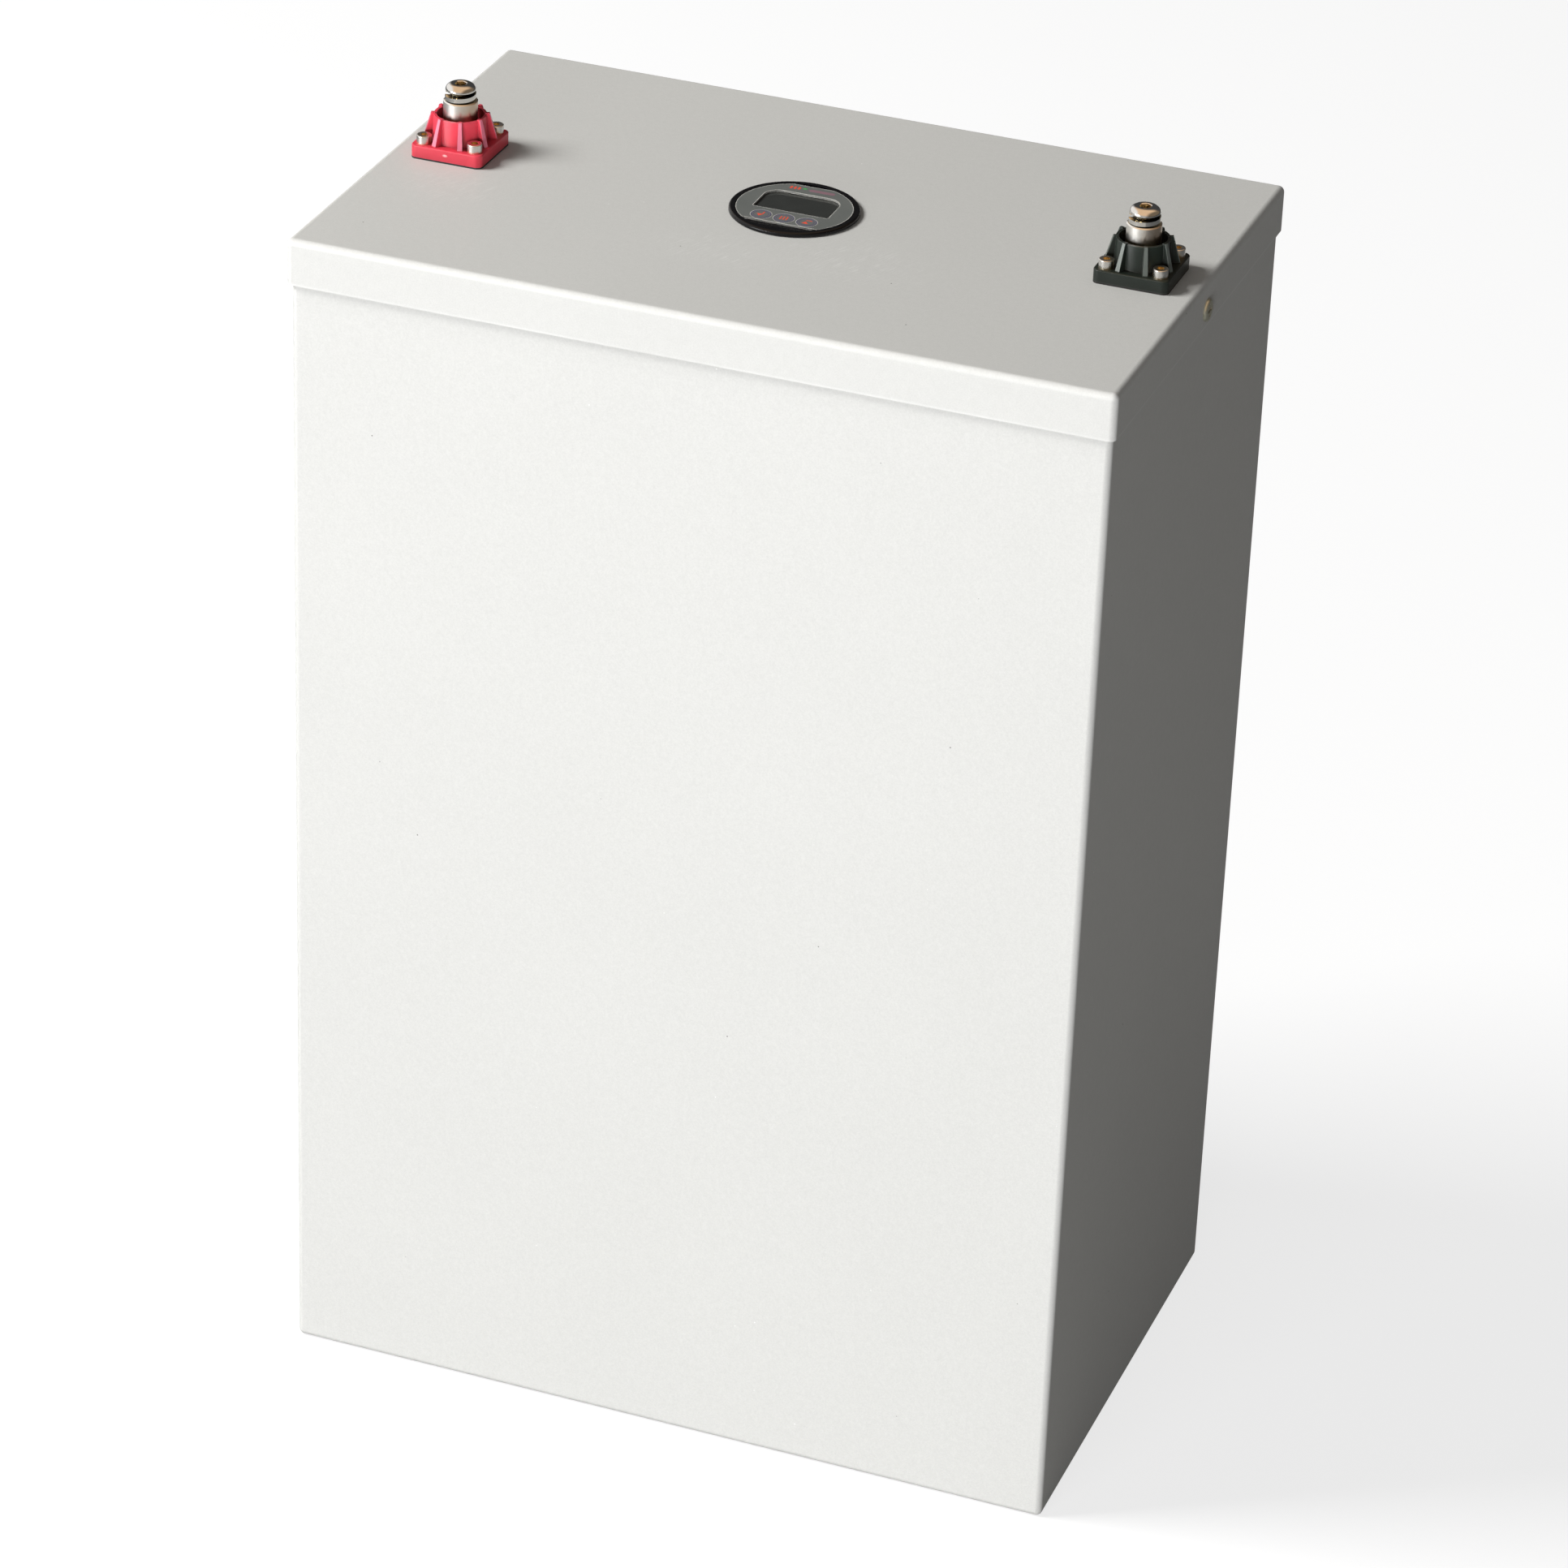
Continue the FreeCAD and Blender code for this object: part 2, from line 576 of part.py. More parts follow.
def make_terminals():
    for name, side in (("positive", POSITIVE), ("negative", NEGATIVE)):
        save("terminal_block_" + name, terminal_block(side))
        save("terminal_post_" + name, terminal_post(side))
        save("terminal_bolt_" + name, terminal_bolt(side))
        save("spring_washer_" + name, spring_washer(side))
    centres = block_screw_centres(POSITIVE) + block_screw_centres(NEGATIVE)
    nuts = [nut(M4_NUT, M4_RADIUS + THREAD_PLAY, LID_UNDERSIDE - M4_NUT_HEIGHT, M4_NUT_HEIGHT, centre)
            for centre in centres]
    save("terminal_gaskets", *[terminal_gasket(side) for side in (POSITIVE, NEGATIVE)])
    save("terminal_screws", *[block_screw(centre) for centre in centres])
    save("terminal_nuts", *nuts)


# ---- Meter ----
def window_block(play, low_z, high_z):
    """The display window's outline: nearly square front corners, large rounds at the back."""
    body = block((-WINDOW_WIDTH / 2 + play, WINDOW_WIDTH / 2 - play),
                 (WINDOW_FRONT + play, WINDOW_BACK - play), (low_z, high_z))
    middle_y = (WINDOW_FRONT + WINDOW_BACK) / 2
    edges = upright_edges(body)
    body = body.makeFillet(WINDOW_BACK_CORNER, [edge for edge in edges if edge.BoundBox.YMin > middle_y])
    front = [edge for edge in upright_edges(body) if edge.BoundBox.YMin < WINDOW_FRONT + play + TOUCH]
    return body.makeFillet(WINDOW_FRONT_CORNER, front)


def button_centres():
    return [(step * BUTTON_PITCH, BUTTON_Y) for step in (-1, 0, 1)]


def make_meter_housing():
    """Barrel through the lid, flange over it, and a floor that carries the faceplate."""
    barrel = disc(METER_BARREL_RADIUS, METER_BARREL_BOTTOM, METER_FLOOR)
    flange = disc(METER_FLANGE_RADIUS, METER_GASKET, METER_FLANGE_TOP)
    flange = flange.makeFillet(METER_FLANGE_ROUND, edges_at_height(flange, METER_FLANGE_TOP))
    recess = disc(METER_RECESS_RADIUS, METER_FLOOR, METER_FLANGE_TOP + OVERCUT)
    inside = disc(METER_BARREL_RADIUS - METER_BARREL_WALL, METER_BARREL_BOTTOM - OVERCUT,
                  METER_FLOOR - METER_FLOOR_THICKNESS)
    window = window_block(0, -OVERCUT, METER_FLOOR + OVERCUT)
    stem_holes = [disc(STEM_HOLE_RADIUS, -OVERCUT, METER_FLOOR + OVERCUT, centre)
                  for centre in button_centres()]
    housing = joined(barrel, flange).cut([recess, inside, window] + stem_holes)
    save("meter_housing", above_lid(housing))


def make_meter_gasket():
    ring = disc(METER_GASKET_RADIUS, 0, METER_GASKET)
    save("meter_gasket", above_lid(ring.cut(disc(METER_HOLE_RADIUS, -OVERCUT, OVERCUT))))


def make_faceplate():
    """Round plate with a flat at the front and one at the back."""
    plate = disc(FACEPLATE_RADIUS, METER_FLOOR, FACEPLATE_TOP)
    kept = block((-FACEPLATE_RADIUS, FACEPLATE_RADIUS), (FACEPLATE_FRONT_FLAT, FACEPLATE_BACK_FLAT),
                 (METER_FLOOR, FACEPLATE_TOP))
    through = (-OVERCUT, FACEPLATE_TOP + OVERCUT)
    openings = [window_block(0, *through)]
    openings += [disc(BUTTON_HOLE_RADIUS, *through, centre) for centre in button_centres()]
    save("meter_faceplate", above_lid(plate.common(kept).cut(openings)))


def make_display():
    """Clear lens in the window and the display module under it."""
    lens_bottom = METER_FLOOR - METER_FLOOR_THICKNESS
    save("meter_lens", above_lid(window_block(WINDOW_PLAY, lens_bottom, LENS_TOP)))
    module = block((-DISPLAY_WIDTH / 2, DISPLAY_WIDTH / 2),
                   (WINDOW_FRONT - DISPLAY_MARGIN, WINDOW_BACK + DISPLAY_MARGIN),
                   (BOARD_TOP, lens_bottom))
    save("meter_display", above_lid(module.common(disc(BOARD_RADIUS, BOARD_TOP, lens_bottom))))


def make_buttons():
    """Round keys whose stems reach into the switches on the board."""
    for name, centre in zip(("left", "middle", "right"), button_centres()):
        cap = disc(BUTTON_RADIUS, BUTTON_TOP - BUTTON_THICKNESS, BUTTON_TOP, centre)
        stem = disc(STEM_RADIUS, STEM_BOTTOM, BUTTON_TOP - BUTTON_THICKNESS, centre)
        save("meter_button_" + name, above_lid(joined(cap, stem)))
    switches = []
    for centre in button_centres():
        body = centred_block(SWITCH_SIDE, SWITCH_SIDE, BOARD_TOP, SWITCH_TOP, centre)
        well = disc(STEM_HOLE_RADIUS, SWITCH_WELL_BOTTOM, SWITCH_TOP + OVERCUT, centre)
        switches.append(above_lid(body.cut(well)))
    save("meter_switches", *switches)


def make_meter_inside():
    """Circuit board, back cover and the ring nut that clamps the meter to the lid."""
    save("meter_board", above_lid(disc(BOARD_RADIUS, BOARD_TOP - BOARD_THICKNESS, BOARD_TOP)))
    cover_top = METER_BARREL_BOTTOM + COVER_THICKNESS
    cover = disc(METER_BARREL_RADIUS - METER_BARREL_WALL, METER_BARREL_BOTTOM, cover_top)
    cable_hole = disc(METER_CABLE_RADIUS, METER_BARREL_BOTTOM - OVERCUT, cover_top + OVERCUT)
    save("meter_back_cover", above_lid(cover.cut(cable_hole)))
    ring_bottom = -SHEET - RING_NUT_HEIGHT
    ring = disc(RING_NUT_RADIUS, ring_bottom, -SHEET)
    cuts = [disc(METER_BARREL_RADIUS + THREAD_PLAY, ring_bottom - OVERCUT, 0)]
    for step in range(RING_NUT_GRIPS):
        angle = 2 * math.pi * step / RING_NUT_GRIPS
        centre = (RING_NUT_RADIUS * math.cos(angle), RING_NUT_RADIUS * math.sin(angle))
        cuts.append(disc(RING_NUT_GRIP_RADIUS, ring_bottom - OVERCUT, 0, centre))
    save("meter_ring_nut", above_lid(ring.cut(cuts)))


# ---- Cells and what holds them ----
def cell(centre, base_z):
    """One prismatic cell: can, two terminal pads with welded studs, and a vent."""
    top = base_z + CELL_HEIGHT
    can = rounded_block(CELL_WIDTH, CELL_DEPTH, CELL_CORNER, base_z, top, centre)
    fittings = []
    for dx in (-TERMINAL_OFFSET, TERMINAL_OFFSET):
        spot = (centre[0] + dx, centre[1])
        fittings.append(disc(PAD_RADIUS, top, top + PAD_HEIGHT, spot))
        fittings.append(disc(M6_RADIUS, top, top + PAD_HEIGHT + STUD_HEIGHT, spot))
    vent = disc(VENT_RADIUS, top - VENT_DEPTH, top + OVERCUT, centre)
    return joined(can, *fittings).cut(vent)


def make_cells():
    """Four groups; the three cells of a group stand behind one another, wired in parallel."""
    for tier, base_z in (("lower", LOWER_BASE), ("upper", UPPER_BASE)):
        for side, x in (("left", -COLUMN_X), ("right", COLUMN_X)):
            save("cells_" + tier + "_" + side, *[cell((x, y), base_z) for y in ROWS])


def make_insulation():
    pads = [centred_block(2 * (PACK_HALF_WIDTH - CELL_GAP), 2 * PACK_HALF_DEPTH, base_z - FOAM, base_z)
            for base_z in (LOWER_BASE, UPPER_BASE)]
    save("foam_pads", *pads)
    spacers = []
    centre_sheets = []
    for base_z in (LOWER_BASE, UPPER_BASE):
        z_range = (base_z, base_z + SPACER_HEIGHT)
        for y in (-ROW_PITCH / 2, ROW_PITCH / 2):
            for x in (-COLUMN_X, COLUMN_X):
                spacers.append(centred_block(CELL_WIDTH, CELL_GAP, *z_range, (x, y)))
        centre_sheets.append(centred_block(CELL_GAP, 2 * PACK_HALF_DEPTH, *z_range))
    save("cell_spacers", *spacers)
    save("centre_insulators", *centre_sheets)


def end_plate(side, base_z):
    """Pressed plate with three lightening slots, against the front (-1) or back (1) of a tier."""
    y_range = sorted((side * PACK_HALF_DEPTH, side * (PACK_HALF_DEPTH + END_PLATE)))
    plate = block((-END_PLATE_WIDTH / 2, END_PLATE_WIDTH / 2), y_range, (base_z, base_z + END_PLATE_HEIGHT))
    middle = base_z + SLOT_HEIGHT_CENTRE
    slots = []
    for x in SLOT_CENTRES:
        slot = block((x - SLOT_WIDTH / 2, x + SLOT_WIDTH / 2),
                     (y_range[0] - OVERCUT, y_range[1] + OVERCUT),
                     (middle - SLOT_HEIGHT / 2, middle + SLOT_HEIGHT / 2))
        across = [edge for edge in slot.Edges if edge.BoundBox.YLength > OVERCUT]
        slots.append(slot.makeFillet(SLOT_CORNER, across))
    return plate.cut(slots)


def deck_upright(side, x_range):
    """Extension of an upper end plate that turns in under the deck board."""
    outer_y = side * (PACK_HALF_DEPTH + END_PLATE)
    web = block(x_range, sorted((side * PACK_HALF_DEPTH, outer_y)),
                (UPPER_BASE + END_PLATE_HEIGHT, DECK_BOTTOM))
    flange = block(x_range, sorted((outer_y, outer_y - side * END_PLATE_FLANGE)),
                   (DECK_BOTTOM - END_PLATE, DECK_BOTTOM))
    return [web, flange]


def deck_screw_centres():
    y = PACK_HALF_DEPTH + (END_PLATE - END_PLATE_FLANGE) / 2
    return [(dx * DECK_SCREW_X, dy * y) for dx in (-1, 1) for dy in (-1, 1)]


def make_end_plates():
    save("end_plates_lower", *[end_plate(side, LOWER_BASE) for side in (-1, 1)])
    upper = []
    for side in (-1, 1):
        uprights = (deck_upright(side, (-UPRIGHT_OUTER, -UPRIGHT_INNER))
                    + deck_upright(side, (UPRIGHT_INNER, UPRIGHT_OUTER)))
        holes = [disc(M6_RADIUS + THREAD_PLAY, DECK_BOTTOM - 2 * END_PLATE, DECK_TOP, centre)
                 for centre in deck_screw_centres()]
        upper.append(joined(end_plate(side, UPPER_BASE), *uprights).cut(holes))
    save("end_plates_upper", *upper)


def make_bands():
    """Steel bands that squeeze each tier between its end plates."""
    width = 2 * PACK_HALF_WIDTH
    depth = 2 * (PACK_HALF_DEPTH + END_PLATE)
    bands = []
    for base_z in (LOWER_BASE, UPPER_BASE):
        for height in BAND_HEIGHTS:
            low = base_z + height
            outer = rounded_block(width + 2 * BAND_THICKNESS, depth + 2 * BAND_THICKNESS,
                                  BAND_CORNER + BAND_THICKNESS, low, low + BAND_WIDTH)
            inner = rounded_block(width, depth, BAND_CORNER, low - OVERCUT, low + BAND_WIDTH + OVERCUT)
            bands.append(outer.cut(inner))
    save("pack_bands", *bands)


def make_shelf():
    """Steel bridge over the lower tier, standing on the case floor on two side legs."""
    top = block((-SHELF_HALF_WIDTH, SHELF_HALF_WIDTH), (-SHELF_HALF_DEPTH, SHELF_HALF_DEPTH),
                (SHELF_BOTTOM, SHELF_TOP))
    legs = []
    slots = []
    for side in (-1, 1):
        leg_x = sorted((side * SHELF_HALF_WIDTH, side * (SHELF_HALF_WIDTH - SHELF_SHEET)))
        legs.append(block(leg_x, (-SHELF_LEG_HALF_DEPTH, SHELF_LEG_HALF_DEPTH), (SHEET, SHELF_TOP)))
        slot_x = sorted((side * (RISER_INNER - OVERCUT), side * (RISER_OUTER + OVERCUT)))
        slots.append(block(slot_x, (-BAR_HALF_WIDTH - OVERCUT, BAR_HALF_WIDTH + OVERCUT),
                           (SHELF_BOTTOM - OVERCUT, SHELF_TOP + OVERCUT)))
    save("tier_shelf", joined(top, *legs).cut(slots))


# ---- Copper ----
def cell_bar(stud_columns, base_z):
    """Flat bar over the studs of three rows, in one or two columns."""
    width_range = (min(stud_columns) - STRAP_MARGIN, max(stud_columns) + STRAP_MARGIN)
    bar = block(width_range, (ROWS[0] - STRAP_MARGIN, ROWS[2] + STRAP_MARGIN),
                (base_z, base_z + STRAP_THICKNESS))
    holes = [disc(M6_CLEARANCE_RADIUS, base_z - OVERCUT, base_z + STRAP_THICKNESS + OVERCUT, (x, y))
             for x in stud_columns for y in ROWS]
    return bar.cut(holes)


def stud_hole(x, y, low_z):
    return disc(M6_CLEARANCE_RADIUS, low_z - OVERCUT, low_z + BAR_THICKNESS + OVERCUT, (x, y))


def riser(side, feet):
    """Bar that climbs one side of the pack, with a foot turned in at each height in feet."""
    web_x = sorted((side * RISER_INNER, side * RISER_OUTER))
    y_range = (-BAR_HALF_WIDTH, BAR_HALF_WIDTH)
    web = block(web_x, y_range, (feet[0], feet[1] + BAR_THICKNESS))
    foot_x = sorted((side * RISER_FOOT, side * RISER_OUTER))
    ends = [block(foot_x, y_range, (low, low + BAR_THICKNESS)) for low in feet]
    return joined(web, *ends)


def make_bars():
    lower_top = LOWER_STRAP + STRAP_THICKNESS
    upper_top = UPPER_STRAP + STRAP_THICKNESS
    straps = [cell_bar([x], z) for z in (LOWER_STRAP, UPPER_STRAP) for x in (-OUTER_STUD_X, OUTER_STUD_X)]
    save("parallel_straps", *straps)
    save("series_bars", *[cell_bar([-INNER_STUD_X, INNER_STUD_X], z) for z in (LOWER_STRAP, UPPER_STRAP)])
    link_holes = [stud_hole(OUTER_STUD_X, 0, lower_top), stud_hole(OUTER_STUD_X, 0, upper_top)]
    save("tier_link", riser(1, (lower_top, upper_top)).cut(link_holes))
    fuse_hole = disc(M8_RADIUS + THREAD_PLAY, RISER_TOP - BAR_THICKNESS - OVERCUT,
                     RISER_TOP + OVERCUT, (FUSE_X, 0))
    riser_holes = [stud_hole(-OUTER_STUD_X, 0, lower_top), fuse_hole]
    save("positive_riser", riser(-1, (lower_top, RISER_TOP - BAR_THICKNESS)).cut(riser_holes))
    save("pack_negative_bar", pack_negative_bar(upper_top))
    save("cell_nuts", *cell_nuts())


def pack_negative_bar(low_z):
    """Z-shaped bar from the upper left strap through the deck to the protection unit."""
    y_range = (INPUT_Y - STRAP_MARGIN, INPUT_Y + STRAP_MARGIN)
    foot = block((-OUTER_STUD_X - STRAP_MARGIN, BAR_WEB_X + BAR_THICKNESS), y_range,
                 (low_z, low_z + BAR_THICKNESS))
    web = block((BAR_WEB_X, BAR_WEB_X + BAR_THICKNESS), y_range, (low_z, INPUT_BLOCK_TOP + BAR_THICKNESS))
    head = block((BAR_WEB_X, UNIT_X[0]), y_range, (INPUT_BLOCK_TOP, INPUT_BLOCK_TOP + BAR_THICKNESS))
    input_x = UNIT_X[0] - BLOCK_LENGTH / 2
    return joined(foot, web, head).cut([stud_hole(-OUTER_STUD_X, INPUT_Y, low_z),
                                        stud_hole(input_x, INPUT_Y, INPUT_BLOCK_TOP)])


def cell_nuts():
    """One nut on every stud, higher where a riser or a bar is clamped with the strap."""
    nuts = []
    raised = {(LOWER_STRAP, -OUTER_STUD_X, 0.0), (LOWER_STRAP, OUTER_STUD_X, 0.0),
              (UPPER_STRAP, OUTER_STUD_X, 0.0), (UPPER_STRAP, -OUTER_STUD_X, INPUT_Y)}
    for strap_z in (LOWER_STRAP, UPPER_STRAP):
        for x in (-OUTER_STUD_X, -INNER_STUD_X, INNER_STUD_X, OUTER_STUD_X):
            for y in ROWS:
                seat = strap_z + STRAP_THICKNESS
                if (strap_z, x, y) in raised:
                    seat += BAR_THICKNESS
                nuts.append(nut(M6_NUT, M6_RADIUS + THREAD_PLAY, seat, M6_NUT_HEIGHT, (x, y)))
    return nuts


# ---- Deck ----
def make_deck():
    board = centred_block(2 * DECK_HALF_WIDTH, 2 * DECK_HALF_DEPTH, DECK_BOTTOM, DECK_TOP)
    bar_slot = block((BAR_WEB_X - OVERCUT, BAR_WEB_X + BAR_THICKNESS + OVERCUT),
                     (INPUT_Y - STRAP_MARGIN - OVERCUT, INPUT_Y + STRAP_MARGIN + OVERCUT),
                     (DECK_BOTTOM - OVERCUT, DECK_TOP + OVERCUT))
    holes = [disc(M6_CLEARANCE_RADIUS, DECK_BOTTOM - OVERCUT, DECK_TOP + OVERCUT, centre)
             for centre in deck_screw_centres()]
    save("deck_board", board.cut([bar_slot] + holes))


def make_protection_unit():
    """Flat box with two terminal blocks that guards the cells, and its finned sink."""
    body = block(UNIT_X, UNIT_Y, (DECK_TOP, UNIT_TOP))
    save("protection_unit", joined(body.makeFillet(BLOCK_CORNER, upright_edges(body)),
                                   unit_terminal(UNIT_X[0] - BLOCK_LENGTH, INPUT_Y, INPUT_BLOCK_TOP),
                                   unit_terminal(UNIT_X[1], OUTPUT_Y, OUTPUT_BLOCK_TOP)))
    base = block(SINK_X, SINK_Y, (UNIT_TOP, UNIT_TOP + SINK_BASE))
    fins = []
    y = SINK_Y[0]
    while y <= SINK_Y[1] - FIN_THICKNESS:
        fins.append(block(SINK_X, (y, y + FIN_THICKNESS), (UNIT_TOP, UNIT_TOP + SINK_HEIGHT)))
        y += FIN_PITCH
    save("heat_sink", joined(base, *fins))


def unit_terminal(low_x, y, top):
    """Block on the side of the protection unit, tapped for one screw."""
    body = block((low_x, low_x + BLOCK_LENGTH), (y - STRAP_MARGIN, y + STRAP_MARGIN), (DECK_TOP, top))
    bore = disc(M6_RADIUS + THREAD_PLAY, DECK_TOP - OVERCUT, top + OVERCUT, (low_x + BLOCK_LENGTH / 2, y))
    return body.cut(bore)


def make_shunt():
    """Two blocks joined by thin resistor bars; the meter counts the current through them."""
    depth = 2 * STRAP_MARGIN
    blocks = []
    bores = []
    for x in SHUNT_X:
        blocks.append(centred_block(SHUNT_BLOCK, depth, DECK_TOP, OUTPUT_BLOCK_TOP, (x, SHUNT_Y)))
        bores.append(disc(M6_RADIUS + THREAD_PLAY, DECK_TOP - OVERCUT, OUTPUT_BLOCK_TOP + OVERCUT,
                          (x, SHUNT_Y)))
    bars = []
    for step in range(SHUNT_BAR_COUNT):
        y = SHUNT_Y + depth * ((step + 0.5) / SHUNT_BAR_COUNT - 0.5)
        bars.append(centred_block(SHUNT_X[1] - SHUNT_X[0], SHUNT_BAR_THICKNESS, DECK_TOP + STRAP_THICKNESS,
                                  OUTPUT_BLOCK_TOP - STRAP_THICKNESS, (sum(SHUNT_X) / 2, y)))
    save("current_shunt", joined(blocks[0], blocks[1], *bars).cut(bores))
    link = block((LINK_X - STRAP_MARGIN / 2, LINK_X + STRAP_MARGIN / 2),
                 (OUTPUT_Y - STRAP_MARGIN, SHUNT_Y + STRAP_MARGIN),
                 (OUTPUT_BLOCK_TOP, OUTPUT_BLOCK_TOP + BAR_THICKNESS))
    holes = [stud_hole(LINK_X, y, OUTPUT_BLOCK_TOP) for y in (OUTPUT_Y, SHUNT_Y)]
    save("shunt_link", link.cut(holes))


def make_deck_screws():
    """Identical screws: four fix the deck board, four clamp a bar or a lug on a copper block."""
    seats = [(UNIT_X[0] - BLOCK_LENGTH / 2, INPUT_Y, INPUT_BLOCK_TOP + BAR_THICKNESS),
             (LINK_X, OUTPUT_Y, OUTPUT_BLOCK_TOP + BAR_THICKNESS),
             (SHUNT_X[1], SHUNT_Y, OUTPUT_BLOCK_TOP + BAR_THICKNESS),
             (SHUNT_X[0], SHUNT_Y, OUTPUT_BLOCK_TOP + LUG_THICKNESS)]
    seats += [(x, y, DECK_TOP) for x, y in deck_screw_centres()]
    save("deck_screws", *[hex_screw(M6_NUT, M6_HEAD_HEIGHT, M6_RADIUS, M6_LENGTH, seat_z, (x, y))
                          for x, y, seat_z in seats])


def make_fuse():
    """Ceramic body with a tab at each end, one on the riser and one on an insulating stand-off."""
    z_range = (RISER_TOP, RISER_TOP + BAR_THICKNESS)
    middle_z = sum(z_range) / 2
    body = Part.makeCylinder(FUSE_RADIUS, FUSE_BODY[1] - FUSE_BODY[0],
                             Vector(FUSE_X, FUSE_BODY[0], middle_z), Vector(0, 1, 0))
    tabs = block((FUSE_X - FUSE_TAB_HALF_WIDTH, FUSE_X + FUSE_TAB_HALF_WIDTH),
                 (-FUSE_TAB_END, FUSE_FAR_Y + FUSE_TAB_END), z_range)
    holes = [disc(M8_CLEARANCE_RADIUS, RISER_TOP - OVERCUT, z_range[1] + OVERCUT, (FUSE_X, y))
             for y in (0, FUSE_FAR_Y)]
    save("main_fuse", joined(body, tabs).cut(holes))
    standoff = disc(STANDOFF_RADIUS, DECK_TOP, RISER_TOP, (FUSE_X, FUSE_FAR_Y))
    tapped = disc(M8_RADIUS + THREAD_PLAY, DECK_TOP - OVERCUT, RISER_TOP + OVERCUT, (FUSE_X, FUSE_FAR_Y))
    save("fuse_standoff", standoff.cut(tapped))


# ---- Cables ----
def lug(hole_radius, direction, hanging, place):
    """Ring tongue with a crimp barrel; direction is +1 or -1 along X, hanging turns it over."""
    tongue = block((0, LUG_BARREL_START + OVERCUT), (-LUG_HALF_WIDTH, LUG_HALF_WIDTH), (0, LUG_THICKNESS))
    eye = disc(LUG_HALF_WIDTH, 0, LUG_THICKNESS)
    barrel = Part.makeCylinder(LUG_BARREL_RADIUS, LUG_BARREL_END - LUG_BARREL_START,
                               Vector(LUG_BARREL_START, 0, LUG_BARREL_RADIUS), Vector(1, 0, 0))
    bore = Part.makeCylinder(CABLE_RADIUS, CABLE_INSERT,
                             Vector(LUG_BARREL_END - CABLE_INSERT, 0, LUG_BARREL_RADIUS), Vector(1, 0, 0))
    hole = disc(hole_radius, -OVERCUT, LUG_THICKNESS + OVERCUT)
    body = joined(tongue, eye, barrel).cut([bore, hole])
    if direction < 0:
        body.rotate(Vector(0, 0, 0), Vector(0, 0, 1), 180)
    if hanging:
        body.rotate(Vector(0, 0, 0), Vector(1, 0, 0), 180)
    body.translate(Vector(*place))
    return body


def barrel_mouth(direction, hanging, place):
    """Centre of the end of a lug's bore, where its cable's tip sits."""
    rise = -LUG_BARREL_RADIUS if hanging else LUG_BARREL_RADIUS
    return (place[0] + direction * (LUG_BARREL_END - CABLE_INSERT), place[1], place[2] + rise)


def make_main_cables():
    """Each main cable leaves its deck lug sideways, climbs and comes back to its post."""
    post_z = LID_TOP + POST_BOTTOM
    deck_ends = {POSITIVE: (FUSE_X, FUSE_FAR_Y, RISER_TOP + BAR_THICKNESS),
                 NEGATIVE: (SHUNT_X[0], SHUNT_Y, OUTPUT_BLOCK_TOP)}
    hole_radii = {POSITIVE: M8_CLEARANCE_RADIUS, NEGATIVE: M6_CLEARANCE_RADIUS}
    lugs = []
    for name, side in (("positive", POSITIVE), ("negative", NEGATIVE)):
        turn = -side
        deck_place = deck_ends[side]
        post_place = (side * TERMINAL_X, 0, post_z)
        lugs.append(lug(hole_radii[side], turn, False, deck_place))
        lugs.append(lug(M8_CLEARANCE_RADIUS, turn, True, post_place))
        start = barrel_mouth(turn, False, deck_place)
        end = barrel_mouth(turn, True, post_place)
        low_x, high_x = CABLE_CORNERS[side]
        corners = [start, (low_x, start[1], start[2]), (high_x, end[1], end[2]), end]
        save(name + "_cable", bent_rod(corners, CABLE_BENDS[side], CABLE_RADIUS))
    save("cable_lugs", *lugs)


def make_lug_fixings():
    """Identical hexagon screws: two clamp the fuse, two hold lugs and washers against the posts."""
    fuse_top = RISER_TOP + BAR_THICKNESS
    fuse_seats = ((0.0, fuse_top), (FUSE_FAR_Y, fuse_top + LUG_THICKNESS))
    screws = [hex_screw(M8_HEX, M8_HEX_HEIGHT, M8_RADIUS, BOLT_LENGTH, seat_z, (FUSE_X, y))
              for y, seat_z in fuse_seats]
    washers = []
    for side in (POSITIVE, NEGATIVE):
        centre = (side * TERMINAL_X, 0)
        lug_low = LID_TOP + POST_BOTTOM - LUG_THICKNESS
        ring = disc(WASHER_OUTER_RADIUS, lug_low - WASHER_THICKNESS, lug_low, centre)
        hole = disc(WASHER_INNER_RADIUS, lug_low - 2 * WASHER_THICKNESS, lug_low + OVERCUT, centre)
        washers.append(ring.cut(hole))
        screws.append(hex_screw(M8_HEX, M8_HEX_HEIGHT, M8_RADIUS, BOLT_LENGTH, lug_low - WASHER_THICKNESS,
                                centre, upward=-1))
    save("lug_screws", *screws)
    save("post_washers", *washers)


def make_meter_cable():
    """Thin cable from the meter's back cover to the protection unit."""
    start = (0, 0, LID_TOP + METER_BARREL_BOTTOM + COVER_THICKNESS)
    end = (UNIT_X[0] + METER_CABLE_RADIUS * 2, UNIT_Y[1] - METER_CABLE_RADIUS * 4, UNIT_TOP)
    corners = [start, (start[0], start[1], start[2] - METER_CABLE_DROPS[0]),
               (end[0], end[1], end[2] + METER_CABLE_DROPS[1]), end]
    save("meter_cable", bent_rod(corners, METER_CABLE_BENDS, METER_CABLE_RADIUS))


